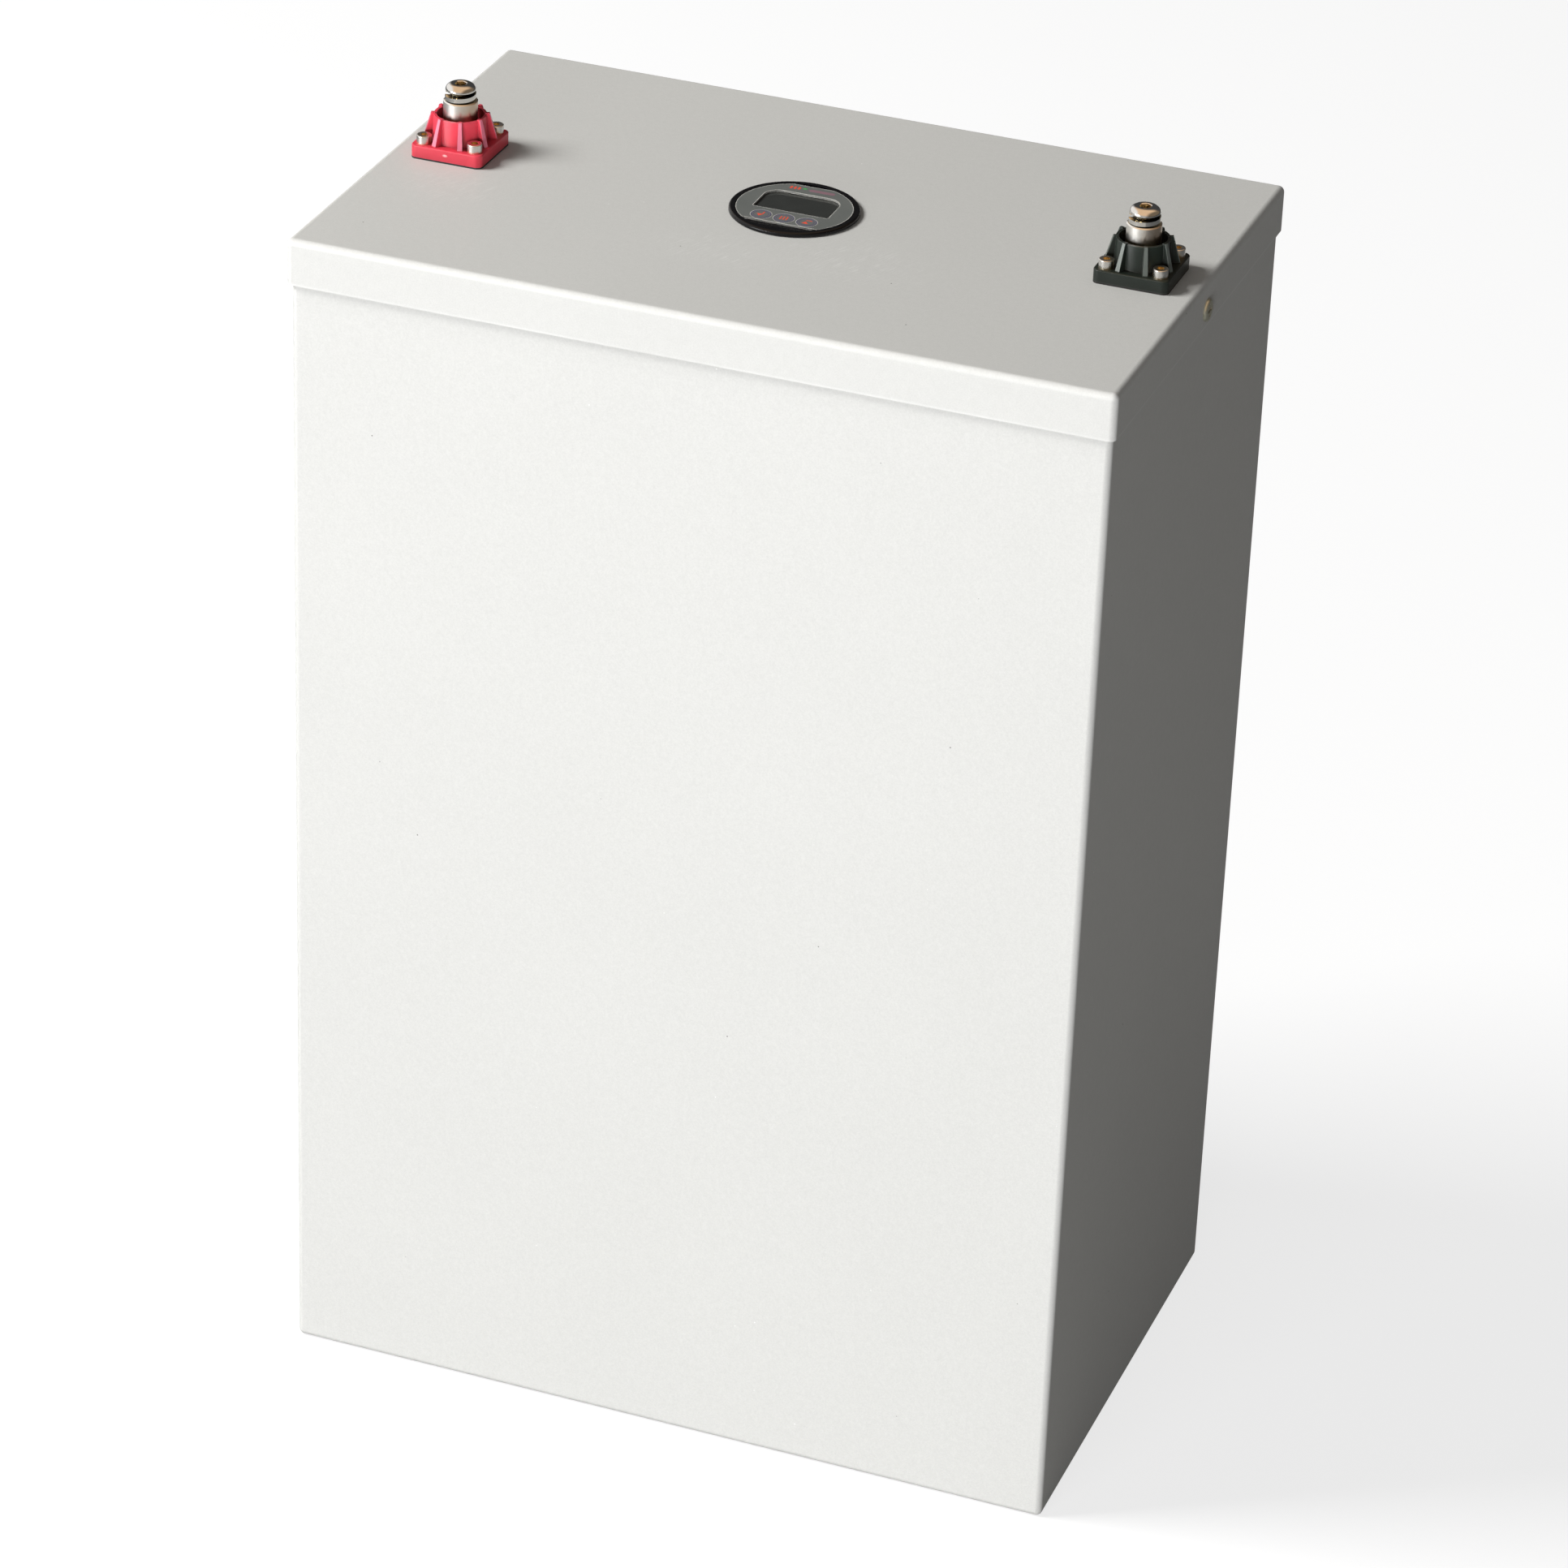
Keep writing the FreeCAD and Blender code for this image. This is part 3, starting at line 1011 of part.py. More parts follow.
def make_sense_wires():
    """Five thin wires that run down the back gap and end on the cells' bars."""
    lower = LOWER_STRAP + STRAP_THICKNESS + WIRE_RADIUS
    upper = UPPER_STRAP + STRAP_THICKNESS + WIRE_RADIUS
    targets = [(-OUTER_STUD_X, lower), (0.0, lower), (OUTER_STUD_X, lower),
               (0.0, upper), (-OUTER_STUD_X, upper)]
    wires = []
    for step, (target_x, target_z) in enumerate(targets):
        start_x = WIRE_START_X + step * WIRE_START_PITCH
        layer_y = WIRE_LAYER_START + step * WIRE_LAYER_PITCH
        corners = [(start_x, UNIT_Y[1], WIRE_START_Z), (start_x, layer_y, WIRE_START_Z),
                   (start_x, layer_y, target_z), (target_x, layer_y, target_z),
                   (target_x, WIRE_END_Y, target_z)]
        wires.append(bent_rod(corners, WIRE_BENDS, WIRE_RADIUS))
    save("sense_wires", *wires)


os.makedirs("parts", exist_ok=True)
make_case()
make_lid()
make_lid_seal()
make_side_fasteners()
make_terminals()
make_meter_housing()
make_meter_gasket()
make_faceplate()
make_display()
make_buttons()
make_meter_inside()
make_cells()
make_insulation()
make_end_plates()
make_bands()
make_shelf()
make_bars()
make_deck()
make_protection_unit()
make_shunt()
make_deck_screws()
make_fuse()
make_main_cables()
make_lug_fixings()
make_meter_cable()
make_sense_wires()
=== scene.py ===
import json
import math

import bmesh
import bpy
from mathutils import Matrix, Vector


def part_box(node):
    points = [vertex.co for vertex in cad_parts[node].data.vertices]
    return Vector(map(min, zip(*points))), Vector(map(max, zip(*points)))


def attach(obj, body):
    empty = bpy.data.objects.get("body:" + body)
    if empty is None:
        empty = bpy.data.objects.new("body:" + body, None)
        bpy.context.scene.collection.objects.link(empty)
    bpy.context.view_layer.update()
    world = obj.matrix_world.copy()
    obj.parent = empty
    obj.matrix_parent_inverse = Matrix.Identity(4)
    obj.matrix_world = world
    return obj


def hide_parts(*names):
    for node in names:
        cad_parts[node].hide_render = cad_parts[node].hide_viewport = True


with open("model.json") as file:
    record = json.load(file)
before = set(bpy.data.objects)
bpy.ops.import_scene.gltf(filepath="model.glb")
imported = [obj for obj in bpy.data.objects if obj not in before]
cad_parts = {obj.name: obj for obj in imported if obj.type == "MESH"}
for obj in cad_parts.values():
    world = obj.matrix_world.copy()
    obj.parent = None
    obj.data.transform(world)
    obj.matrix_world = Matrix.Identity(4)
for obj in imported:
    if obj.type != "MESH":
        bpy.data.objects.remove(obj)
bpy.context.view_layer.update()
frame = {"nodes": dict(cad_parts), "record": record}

# The battery stands on the floor, front towards -Y, positive terminal at -X. Lengths are in metres.
MM = 0.001

# ---- Camera: where it stands and how it is turned, angles in degrees ----
CAMERA_PLACE = (0.846, -2.347, 1.666)
CAMERA_AZIMUTH = 19.70
CAMERA_ELEVATION = 28.85
CAMERA_ROLL = 2.22
CAMERA_LENS = 137.0
SENSOR_WIDTH = 36.0

# ---- Places taken from the frame ----
LID_LOW, LID_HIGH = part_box("lid")
LID_TOP = LID_HIGH.z
FACE_LOW, FACE_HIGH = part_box("meter_faceplate")
BLOCKS = {"positive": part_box("terminal_block_positive"), "negative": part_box("terminal_block_negative")}
BOLTS = {"positive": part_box("terminal_bolt_positive"), "negative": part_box("terminal_bolt_negative")}
POSTS = [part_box("terminal_post_" + side) for side in BOLTS]
BUTTONS = {side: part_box("meter_button_" + side) for side in ("left", "middle", "right")}

# ---- Terminal blocks: ribs, the red block's gate mark, and the painted tan shade on the right side of the posts ----
RIB_HEIGHT = 12.5 * MM
RIB_FOOT_RADIUS = 17.1 * MM
RIB_TOP_RADIUS = 13.5 * MM
RIB_BLEND = 0.4 * MM
GATE_HEIGHT = 3.9 * MM
GATE_RADII = (1.5 * MM, 1.0 * MM, 0.75 * MM)
# where the painted tan shade sits on each post
PAINTED_SHADE_OFFSET = Vector((8.0, -1.0, 0.0)) * MM
PAINTED_SHADE_HEIGHT = 19.0 * MM
PAINTED_SHADE_RADII = (9.0 * MM, 12.0 * MM, 16.0 * MM)

# ---- Lid: centres and radii of the places rubbed pale by hands and cloths ----
RUBBED_PLACES = [((0.043, -0.040, LID_TOP), (0.045, 0.030, 0.004)),
                 ((-0.150, -0.040, LID_TOP), (0.030, 0.022, 0.004)),
                 ((-0.020, -0.055, LID_TOP), (0.035, 0.022, 0.004))]


def middle(corners):
    low, high = corners
    return (low + high) / 2


# ---- Colours, linear ----
def colour(red, green, blue):
    return (red, green, blue, 1.0)


COAT = colour(0.550, 0.549, 0.528)
RUBBED_COAT = colour(0.780, 0.780, 0.760)
DIRT = colour(0.130, 0.130, 0.120)
RED_PLASTIC = colour(0.615, 0.043, 0.070)
# paler red for worn edges, and a painted sheen on the rib faces
RED_WEAR_AND_RIB_SHEEN = colour(0.670, 0.200, 0.280)
GATE_PINK = colour(0.900, 0.620, 0.620)
BLACK_PLASTIC = colour(0.010, 0.0145, 0.0115)
# paler black for worn edges, and a painted sheen on the rib faces
BLACK_WEAR_AND_RIB_SHEEN = colour(0.118, 0.132, 0.120)
GLOSS_BLACK = colour(0.003, 0.003, 0.004)
GLOSS_EDGES = colour(0.030, 0.030, 0.030)
PLATE_GREY = colour(0.128, 0.138, 0.132)
# painted highlight for the faceplate's edges
PAINTED_EDGE_HIGHLIGHT = colour(0.880, 0.860, 0.800)
WINDOW_DARK = colour(0.034, 0.036, 0.033)
DUST = colour(0.300, 0.300, 0.300)
NICKEL = colour(0.800, 0.790, 0.760)
# tarnish tone, also used for the painted tan shade on the right side of the posts
NICKEL_TARNISH_AND_TAN_SHADE = colour(0.600, 0.450, 0.320)
STAINLESS = colour(0.720, 0.710, 0.690)
STAINLESS_TARNISH = colour(0.600, 0.510, 0.420)
YELLOW_ZINC = colour(0.560, 0.555, 0.440)
ZINC_TARNISH = colour(0.520, 0.420, 0.340)
# painted tan reflection for sockets and hollows in metal
PAINTED_SOCKET_REFLECTION = colour(0.990, 0.840, 0.540)
# painted shade for narrow gaps and inner corners
PAINTED_GAP_SHADE = colour(0.020, 0.018, 0.016)
PRINT_RED = colour(0.780, 0.075, 0.035)
PRINT_GREEN = colour(0.030, 0.420, 0.080)
PRINT_VIOLET = colour(0.230, 0.130, 0.160)
PRINT_BLUE = colour(0.085, 0.075, 0.160)


# ---- Node materials ----
class Nodes:
    """A node tree being built."""

    def __init__(self, tree):
        self.tree = tree

    def add(self, kind, **inputs):
        """A new node; each keyword feeds the input of that name, with _ for a space."""
        node = self.tree.nodes.new("ShaderNode" + kind)
        for name, value in inputs.items():
            self.feed(node.inputs[name.replace("_", " ")], value)
        return node

    def feed(self, socket, value):
        """Set an input to a value, or link it to another node's output."""
        if isinstance(value, bpy.types.NodeSocket):
            self.tree.links.new(value, socket)
        else:
            socket.default_value = value

    def ramp(self, value, start, end, low, high):
        """Value mapped from start..end to low..high and held there outside."""
        node = self.add("MapRange", Value=value, From_Min=start, From_Max=end, To_Min=low, To_Max=high)
        return node.outputs["Result"]

    def maths(self, operation, first, second):
        node = self.add("Math")
        node.operation = operation
        self.feed(node.inputs[0], first)
        self.feed(node.inputs[1], second)
        return node.outputs["Value"]

    def vector_maths(self, operation, first, second=None):
        node = self.add("VectorMath")
        node.operation = operation
        self.feed(node.inputs[0], first)
        if second is not None:
            self.feed(node.inputs[1], second)
        return node

    def mix(self, factor, first, second):
        """Two colours mixed by a factor."""
        node = self.add("Mix")
        node.data_type = "RGBA"
        sockets = {"Factor_Float": factor, "A_Color": first, "B_Color": second}
        for identifier, value in sockets.items():
            self.feed(next(s for s in node.inputs if s.identifier == identifier), value)
        return next(s for s in node.outputs if s.identifier == "Result_Color")


class Finish(Nodes):
    """A node material being built round a Principled shader."""

    def __init__(self, name):
        self.material = bpy.data.materials.new(name)
        self.material.use_nodes = True
        super().__init__(self.material.node_tree)
        self.shader = self.tree.nodes["Principled BSDF"]
        self.place = self.add("TexCoord").outputs["Object"]

    def set(self, **inputs):
        """Feed the shader's own inputs."""
        for name, value in inputs.items():
            self.feed(self.shader.inputs[name.replace("_", " ")], value)

    def stretched(self, lengths, turn):
        """Coordinates that make a pattern longer along each axis, after a turn about Z in degrees."""
        node = self.add("Mapping")
        node.vector_type = "TEXTURE"
        self.feed(node.inputs["Vector"], self.place)
        self.feed(node.inputs["Scale"], lengths)
        self.feed(node.inputs["Rotation"], (0.0, 0.0, math.radians(turn)))
        return node.outputs["Vector"]

    def noise(self, size, detail=2.0, lengths=None, turn=0.0):
        """Smooth noise with features of about this size."""
        where = self.stretched(lengths, turn) if lengths else self.place
        return self.add("TexNoise", Vector=where, Scale=1.0 / size, Detail=detail).outputs["Fac"]

    def spots(self, spacing, radius):
        """1 inside small scattered spots, 0 elsewhere."""
        node = self.add("TexVoronoi", Vector=self.place, Scale=1.0 / spacing)
        return self.ramp(node.outputs["Distance"], radius / spacing, 0.5 * radius / spacing, 0.0, 1.0)

    def near(self, centre, radii):
        """1 at a point, fading to 0 at the skin of an ellipsoid about it."""
        offset = self.vector_maths("SUBTRACT", self.place, centre)
        scaled = self.vector_maths("DIVIDE", offset.outputs["Vector"], radii)
        distance = self.vector_maths("LENGTH", scaled.outputs["Vector"])
        return self.ramp(distance.outputs["Value"], 1.0, 0.4, 0.0, 1.0)

    def edges(self, reach):
        """1 on edges and tight bends, 0 on flat faces; reach is the radius looked at."""
        bevel = self.add("Bevel", Radius=reach)
        bevel.samples = 4
        normal = self.add("NewGeometry").outputs["Normal"]
        likeness = self.vector_maths("DOT_PRODUCT", bevel.outputs["Normal"], normal)
        return self.ramp(likeness.outputs["Value"], 0.995, 0.90, 0.0, 1.0)

    def openness(self, reach):
        """0 in narrow gaps and sockets, 1 out in the open; reach is the distance looked at."""
        node = self.add("AmbientOcclusion", Distance=reach)
        node.samples = 8
        return node.outputs["AO"]

    def shade(self, base, *variations):
        """A colour made darker and lighter; each variation is (pattern, share)."""
        factor = 1.0
        for pattern, share in variations:
            factor = self.maths("ADD", factor, self.ramp(pattern, 0.25, 0.75, -share, share))
        node = self.add("VectorMath")
        node.operation = "SCALE"
        self.feed(node.inputs[0], base if isinstance(base, bpy.types.NodeSocket) else base[:3])
        self.feed(node.inputs["Scale"], factor)
        return node.outputs["Vector"]

    def bump(self, height, depth, below=None):
        """A normal that shows height as relief of this depth."""
        node = self.add("Bump", Height=height, Distance=depth)
        if below is not None:
            self.feed(node.inputs["Normal"], below)
        return node.outputs["Normal"]


def powder_coat(finish):
    """Light grey powder coat: granular skin, faint clouds, specks, scuffs and rubbed edges."""
    grain = finish.noise(0.7 * MM, detail=3.0)
    peel = finish.noise(2.6 * MM, detail=1.0)
    cloud = finish.noise(110 * MM, detail=4.0)
    skin = finish.shade(COAT, (grain, 0.055), (peel, 0.015), (cloud, 0.010))
    skin = finish.mix(finish.spots(24 * MM, 0.45 * MM), skin, DIRT)
    skin = finish.mix(finish.spots(19 * MM, 0.40 * MM), skin, RUBBED_COAT)
    streaks = finish.ramp(finish.noise(0.5 * MM, lengths=(1.0, 22.0, 1.0), turn=-22.0), 0.56, 0.70, 0.0, 1.0)
    for centre, radii in RUBBED_PLACES:
        rub = finish.maths("MULTIPLY", finish.near(centre, radii), streaks)
        skin = finish.mix(finish.maths("MULTIPLY", rub, 0.35), skin, RUBBED_COAT)
    worn = finish.maths("MULTIPLY", finish.edges(2.0 * MM), finish.ramp(cloud, 0.35, 0.6, 0.15, 0.5))
    skin = finish.mix(worn, skin, RUBBED_COAT)
    relief = finish.bump(grain, 0.020 * MM, finish.bump(peel, 0.03 * MM))
    finish.set(Base_Color=skin, Roughness=finish.ramp(grain, 0.3, 0.7, 0.50, 0.62), Normal=relief,
               Specular_IOR_Level=0.4)


def rib_faces(finish, side):
    """1 on the outer faces of a terminal block's ribs, 0 on the collar between them."""
    low, high = BLOCKS[side]
    centre = middle((low, high))
    offset = finish.vector_maths("SUBTRACT", finish.place, (centre.x, centre.y, 0.0))
    flat = finish.vector_maths("MULTIPLY", offset.outputs["Vector"], (1.0, 1.0, 0.0))
    distance = finish.vector_maths("LENGTH", flat.outputs["Vector"]).outputs["Value"]
    height = finish.add("SeparateXYZ", Vector=finish.place).outputs["Z"]
    rib_radius = finish.ramp(height, high.z - RIB_HEIGHT, high.z, RIB_FOOT_RADIUS, RIB_TOP_RADIUS)
    outside = finish.maths("SUBTRACT", distance, rib_radius)
    on_face = finish.ramp(outside, -1.25 * RIB_BLEND, -0.25 * RIB_BLEND, 0.0, 1.0)
    above_plate = finish.ramp(height, high.z - RIB_HEIGHT, high.z - RIB_HEIGHT + RIB_BLEND, 0.0, 1.0)
    return finish.maths("MULTIPLY", on_face, above_plate)


def moulded(finish, base, worn, roughness, gate=None, block=None):
    """Injection-moulded plastic: fine spark texture, flow clouds, paler edges, a gate mark if asked.

    A terminal block also has a painted sheen on its rib faces and painted shade in its inner corners.
    """
    spark = finish.noise(0.22 * MM, detail=2.0)
    flow = finish.noise(9 * MM, detail=3.0)
    skin = finish.shade(base, (spark, 0.05), (flow, 0.07))
    skin = finish.mix(finish.maths("MULTIPLY", finish.edges(0.35 * MM), 0.45), skin, worn)
    if block is not None:
        # Painted sheen: the outer faces of the ribs are mixed most of the way to the paler colour.
        skin = finish.mix(finish.maths("MULTIPLY", rib_faces(finish, block), 0.8), skin, worn)
        # Painted shade: the inner corners are darkened where little open space is around them.
        corners = finish.ramp(finish.openness(9.0 * MM), 0.60, 0.30, 0.0, 0.6)
        skin = finish.mix(corners, skin, PAINTED_GAP_SHADE)
    relief = finish.bump(spark, 0.012 * MM, finish.bump(flow, 0.03 * MM))
    if gate is not None:
        scar = finish.near(gate, GATE_RADII)
        skin = finish.mix(finish.maths("MULTIPLY", scar, 0.6), skin, GATE_PINK)
        relief = finish.bump(scar, 0.08 * MM, relief)
    finish.set(Base_Color=skin, Normal=relief, Specular_IOR_Level=0.35,
               Roughness=finish.ramp(flow, 0.3, 0.7, roughness - 0.05, roughness + 0.07))


def red_plastic(finish):
    low, high = BLOCKS["positive"]
    gate = ((low.x + high.x) / 2, low.y, LID_TOP + GATE_HEIGHT)
    moulded(finish, RED_PLASTIC, RED_WEAR_AND_RIB_SHEEN, 0.36, gate, "positive")


def black_plastic(finish):
    moulded(finish, BLACK_PLASTIC, BLACK_WEAR_AND_RIB_SHEEN, 0.36, block="negative")


def black_gloss(finish):
    moulded(finish, GLOSS_BLACK, GLOSS_EDGES, 0.26)
    finish.set(Specular_IOR_Level=0.25)


def faceplate_grey(finish):
    """Satin grey print film over the meter's plate, with a painted highlight along its edges."""
    weave = finish.noise(0.5 * MM, detail=2.0)
    cloud = finish.noise(12 * MM, detail=3.0)
    skin = finish.shade(PLATE_GREY, (weave, 0.05), (cloud, 0.05))
    # Painted highlight: the plate's edges are lightened.
    skin = finish.mix(finish.maths("MULTIPLY", finish.edges(0.7 * MM), 0.9), skin, PAINTED_EDGE_HIGHLIGHT)
    finish.set(Base_Color=skin, Roughness=finish.ramp(cloud, 0.3, 0.7, 0.34, 0.46),
               Normal=finish.bump(weave, 0.01 * MM))


def smoked_lens(finish):
    """Dark, slightly greenish acrylic with fine dust and hairline scratches."""
    dust = finish.spots(2.2 * MM, 0.09 * MM)
    hairs = finish.ramp(finish.noise(0.15 * MM, lengths=(30.0, 1.0, 1.0), turn=25.0), 0.60, 0.75, 0.0, 1.0)
    cloud = finish.noise(8 * MM, detail=3.0)
    skin = finish.mix(finish.maths("MULTIPLY", dust, 0.25), finish.shade(WINDOW_DARK, (cloud, 0.12)), DUST)
    finish.set(Base_Color=skin, Roughness=finish.maths("ADD", finish.maths("MULTIPLY", hairs, 0.12), 0.14),
               Coat_Weight=0.3, Coat_Roughness=0.08, Normal=finish.bump(hairs, 0.004 * MM))


def display_dark(finish):
    """Switched-off display: dark green-grey glass over faint cells."""
    cells = finish.add("TexBrick", Vector=finish.place, Scale=1.0 / (3.0 * MM), Mortar_Size=0.03,
                       Color1=colour(0.040, 0.046, 0.038), Color2=colour(0.034, 0.040, 0.033),
                       Mortar=colour(0.055, 0.060, 0.050))
    haze = finish.noise(4 * MM, detail=2.0)
    finish.set(Base_Color=finish.shade(cells.outputs["Color"], (haze, 0.08)), Roughness=0.25,
               Normal=finish.bump(haze, 0.005 * MM))


def machined(finish, base, roughness, tarnish, paint_gap_shade=False, painted_shade_places=()):
    """Turned metal: fine rings round the upright axis, thin tarnish, a painted tan reflection in sockets and
    hollows, painted shade in gaps if asked, and painted tan shade at any given places.
    """
    rings = finish.noise(0.16 * MM, detail=2.0, lengths=(60.0, 60.0, 1.0))
    smear = finish.noise(6.0 * MM, detail=2.0)
    skin = finish.mix(finish.ramp(smear, 0.50, 0.80, 0.0, 0.20), finish.shade(base, (rings, 0.03)), tarnish)
    # Painted shade: each given place is mixed towards the tarnish colour, a darker tan.
    for place in painted_shade_places:
        painted_tan_shade = finish.near(place, PAINTED_SHADE_RADII)
        skin = finish.mix(finish.maths("MULTIPLY", painted_tan_shade, 0.75), skin, tarnish)
    openness = finish.openness(4.0 * MM)
    # Painted reflection: sockets and hollows are tinted tan.
    skin = finish.mix(finish.ramp(openness, 0.75, 0.50, 0.0, 0.9), skin, PAINTED_SOCKET_REFLECTION)
    # Painted shade: narrow gaps turn nearly black.
    if paint_gap_shade:
        skin = finish.mix(finish.ramp(openness, 0.52, 0.36, 0.0, 1.0), skin, PAINTED_GAP_SHADE)
    finish.set(Base_Color=skin, Metallic=1.0, Normal=finish.bump(rings, 0.001 * MM),
               Roughness=finish.ramp(smear, 0.3, 0.7, roughness - 0.02, roughness + 0.03))


def nickel_plate(finish):
    # The right side of each post gets painted tan shade.
    shaded_right_sides = [middle(box) + PAINTED_SHADE_OFFSET for box in POSTS]
    for place in shaded_right_sides:
        place.z = LID_TOP + PAINTED_SHADE_HEIGHT
    machined(finish, NICKEL, 0.30, NICKEL_TARNISH_AND_TAN_SHADE, painted_shade_places=shaded_right_sides)


def bolt_chrome(finish):
    machined(finish, STAINLESS, 0.14, STAINLESS_TARNISH, paint_gap_shade=True)


def stainless_screw(finish):
    machined(finish, STAINLESS, 0.28, STAINLESS_TARNISH)


def sheet_metal(finish, base, tarnish, roughness, spangle=6 * MM):
    """Rolled or plated sheet: drawn streaks, soft blotches and rubbed edges."""
    streaks = finish.noise(0.3 * MM, detail=2.0, lengths=(45.0, 1.0, 1.0))
    blotch = finish.noise(spangle, detail=3.0)
    skin = finish.mix(finish.ramp(blotch, 0.4, 0.75, 0.0, 0.5), finish.shade(base, (streaks, 0.06)), tarnish)
    finish.set(Base_Color=skin, Metallic=1.0, Normal=finish.bump(streaks, 0.006 * MM),
               Roughness=finish.ramp(blotch, 0.3, 0.7, roughness - 0.06, roughness + 0.10))


def yellow_zinc_steel(finish):
    """Zinc plate passivated pale yellow, with faint rainbow blotches."""
    blotch = finish.noise(1.6 * MM, detail=3.0)
    skin = finish.mix(finish.ramp(blotch, 0.45, 0.70, 0.0, 0.4), finish.shade(YELLOW_ZINC, (blotch, 0.10)),
                      ZINC_TARNISH)
    finish.set(Base_Color=skin, Metallic=0.75, Roughness=finish.ramp(blotch, 0.3, 0.7, 0.30, 0.45),
               Normal=finish.bump(blotch, 0.01 * MM))


def zinc_steel(finish):
    sheet_metal(finish, colour(0.62, 0.64, 0.66), colour(0.42, 0.43, 0.46), 0.34, spangle=3 * MM)


def bare_aluminium(finish):
    sheet_metal(finish, colour(0.78, 0.78, 0.79), colour(0.62, 0.62, 0.63), 0.36)


def band_steel(finish):
    sheet_metal(finish, colour(0.33, 0.35, 0.38), colour(0.20, 0.21, 0.24), 0.38)


def shelf_steel(finish):
    sheet_metal(finish, colour(0.56, 0.57, 0.58), colour(0.40, 0.41, 0.42), 0.40, spangle=14 * MM)


def copper(finish):
    sheet_metal(finish, colour(0.86, 0.42, 0.26), colour(0.48, 0.20, 0.12), 0.30)


def tinned_copper(finish):
    sheet_metal(finish, colour(0.74, 0.72, 0.70), colour(0.58, 0.50, 0.44), 0.32)


def cell_can(finish):
    """Blue shrink film over an aluminium can: soft ripples and a slight sheen."""
    ripple = finish.noise(14 * MM, detail=2.0, lengths=(1.0, 1.0, 6.0))
    fleck = finish.noise(0.8 * MM, detail=2.0)
    skin = finish.shade(colour(0.030, 0.095, 0.270), (ripple, 0.10), (fleck, 0.04))
    finish.set(Base_Color=skin, Roughness=finish.ramp(ripple, 0.3, 0.7, 0.28, 0.40), Coat_Weight=0.2,
               Normal=finish.bump(ripple, 0.15 * MM))


def soft(finish, base, pore, depth, roughness):
    """Foam, rubber, fibre sheet or cable sheath: open pores over an uneven tone."""
    pores = finish.noise(pore, detail=3.0)
    cloud = finish.noise(25 * MM, detail=2.0)
    finish.set(Base_Color=finish.shade(base, (pores, 0.14), (cloud, 0.06)), Normal=finish.bump(pores, depth),
               Roughness=finish.ramp(pores, 0.3, 0.7, roughness - 0.06, roughness + 0.06))


def foam(finish):
    soft(finish, colour(0.030, 0.030, 0.032), 0.7 * MM, 0.20 * MM, 0.90)


def black_rubber(finish):
    soft(finish, colour(0.012, 0.012, 0.012), 0.4 * MM, 0.03 * MM, 0.70)


def insulator_sheet(finish):
    soft(finish, colour(0.160, 0.330, 0.210), 1.2 * MM, 0.02 * MM, 0.55)


def button_grey(finish):
    soft(finish, PLATE_GREY, 0.5 * MM, 0.008 * MM, 0.42)


def cable_red(finish):
    soft(finish, colour(0.520, 0.020, 0.018), 0.6 * MM, 0.02 * MM, 0.48)


def cable_black(finish):
    soft(finish, colour(0.016, 0.016, 0.017), 0.6 * MM, 0.02 * MM, 0.48)


def unit_blue(finish):
    soft(finish, colour(0.020, 0.060, 0.160), 0.5 * MM, 0.03 * MM, 0.50)


def ceramic_white(finish):
    soft(finish, colour(0.780, 0.760, 0.700), 0.9 * MM, 0.03 * MM, 0.35)


def insulator_red(finish):
    soft(finish, colour(0.380, 0.040, 0.025), 0.5 * MM, 0.03 * MM, 0.45)


def board_green(finish):
    """Circuit board: solder mask over a faint mesh of tracks."""
    tracks = finish.add("TexBrick", Vector=finish.place, Scale=1.0 / (2.5 * MM), Mortar_Size=0.06,
                        Color1=colour(0.010, 0.110, 0.040), Color2=colour(0.012, 0.130, 0.045),
                        Mortar=colour(0.030, 0.200, 0.080))
    height = finish.ramp(tracks.outputs["Fac"], 0.0, 1.0, 0.0, 1.0)
    finish.set(Base_Color=tracks.outputs["Color"], Roughness=0.30, Normal=finish.bump(height, 0.03 * MM))


def printed(finish, ink):
    """Screen-printed ink with a broken edge and a dotted texture."""
    dots = finish.noise(0.25 * MM, detail=2.0)
    finish.set(Base_Color=finish.mix(finish.ramp(dots, 0.45, 0.65, 0.0, 0.25), ink, PLATE_GREY),
               Roughness=0.5, Normal=finish.bump(dots, 0.004 * MM))


def print_red(finish):
    printed(finish, PRINT_RED)


def print_green(finish):
    printed(finish, PRINT_GREEN)


def print_violet(finish):
    printed(finish, PRINT_VIOLET)


def print_blue(finish):
    printed(finish, PRINT_BLUE)


def made(recipe):
    """The material that a recipe function describes, named after it."""
    finish = Finish(recipe.__name__)
    recipe(finish)
    return finish.material


def finish_cad_nodes():
    """Give every CAD node the material of its record slot."""
    recipes = {recipe.__name__: recipe for recipe in (
        powder_coat, foam, yellow_zinc_steel, zinc_steel, red_plastic, black_plastic, nickel_plate,
        bolt_chrome, stainless_screw, black_rubber, black_gloss, faceplate_grey, smoked_lens, display_dark,
        button_grey, board_green, cell_can, insulator_sheet, bare_aluminium, band_steel, shelf_steel, copper,
        tinned_copper, unit_blue, ceramic_white, insulator_red, cable_red, cable_black)}
    materials = {name: made(recipe) for name, recipe in recipes.items()}
    for subpart in frame["record"]["subparts"]:
        mesh = frame["nodes"][subpart["node"]].data
        mesh.materials.clear()
        mesh.materials.append(materials[subpart["material_slot"]])
    return materials


# ---- Mesh building ----
def new_piece(name, mesh_data, material, body):
    """A finished mesh as a piece that rides on a body."""
    mesh = bpy.data.meshes.new(name)
    mesh_data.to_mesh(mesh)
    mesh_data.free()
    mesh.materials.append(material)
    piece = bpy.data.objects.new(name, mesh)
    bpy.context.scene.collection.objects.link(piece)
    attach(piece, body)
    return piece


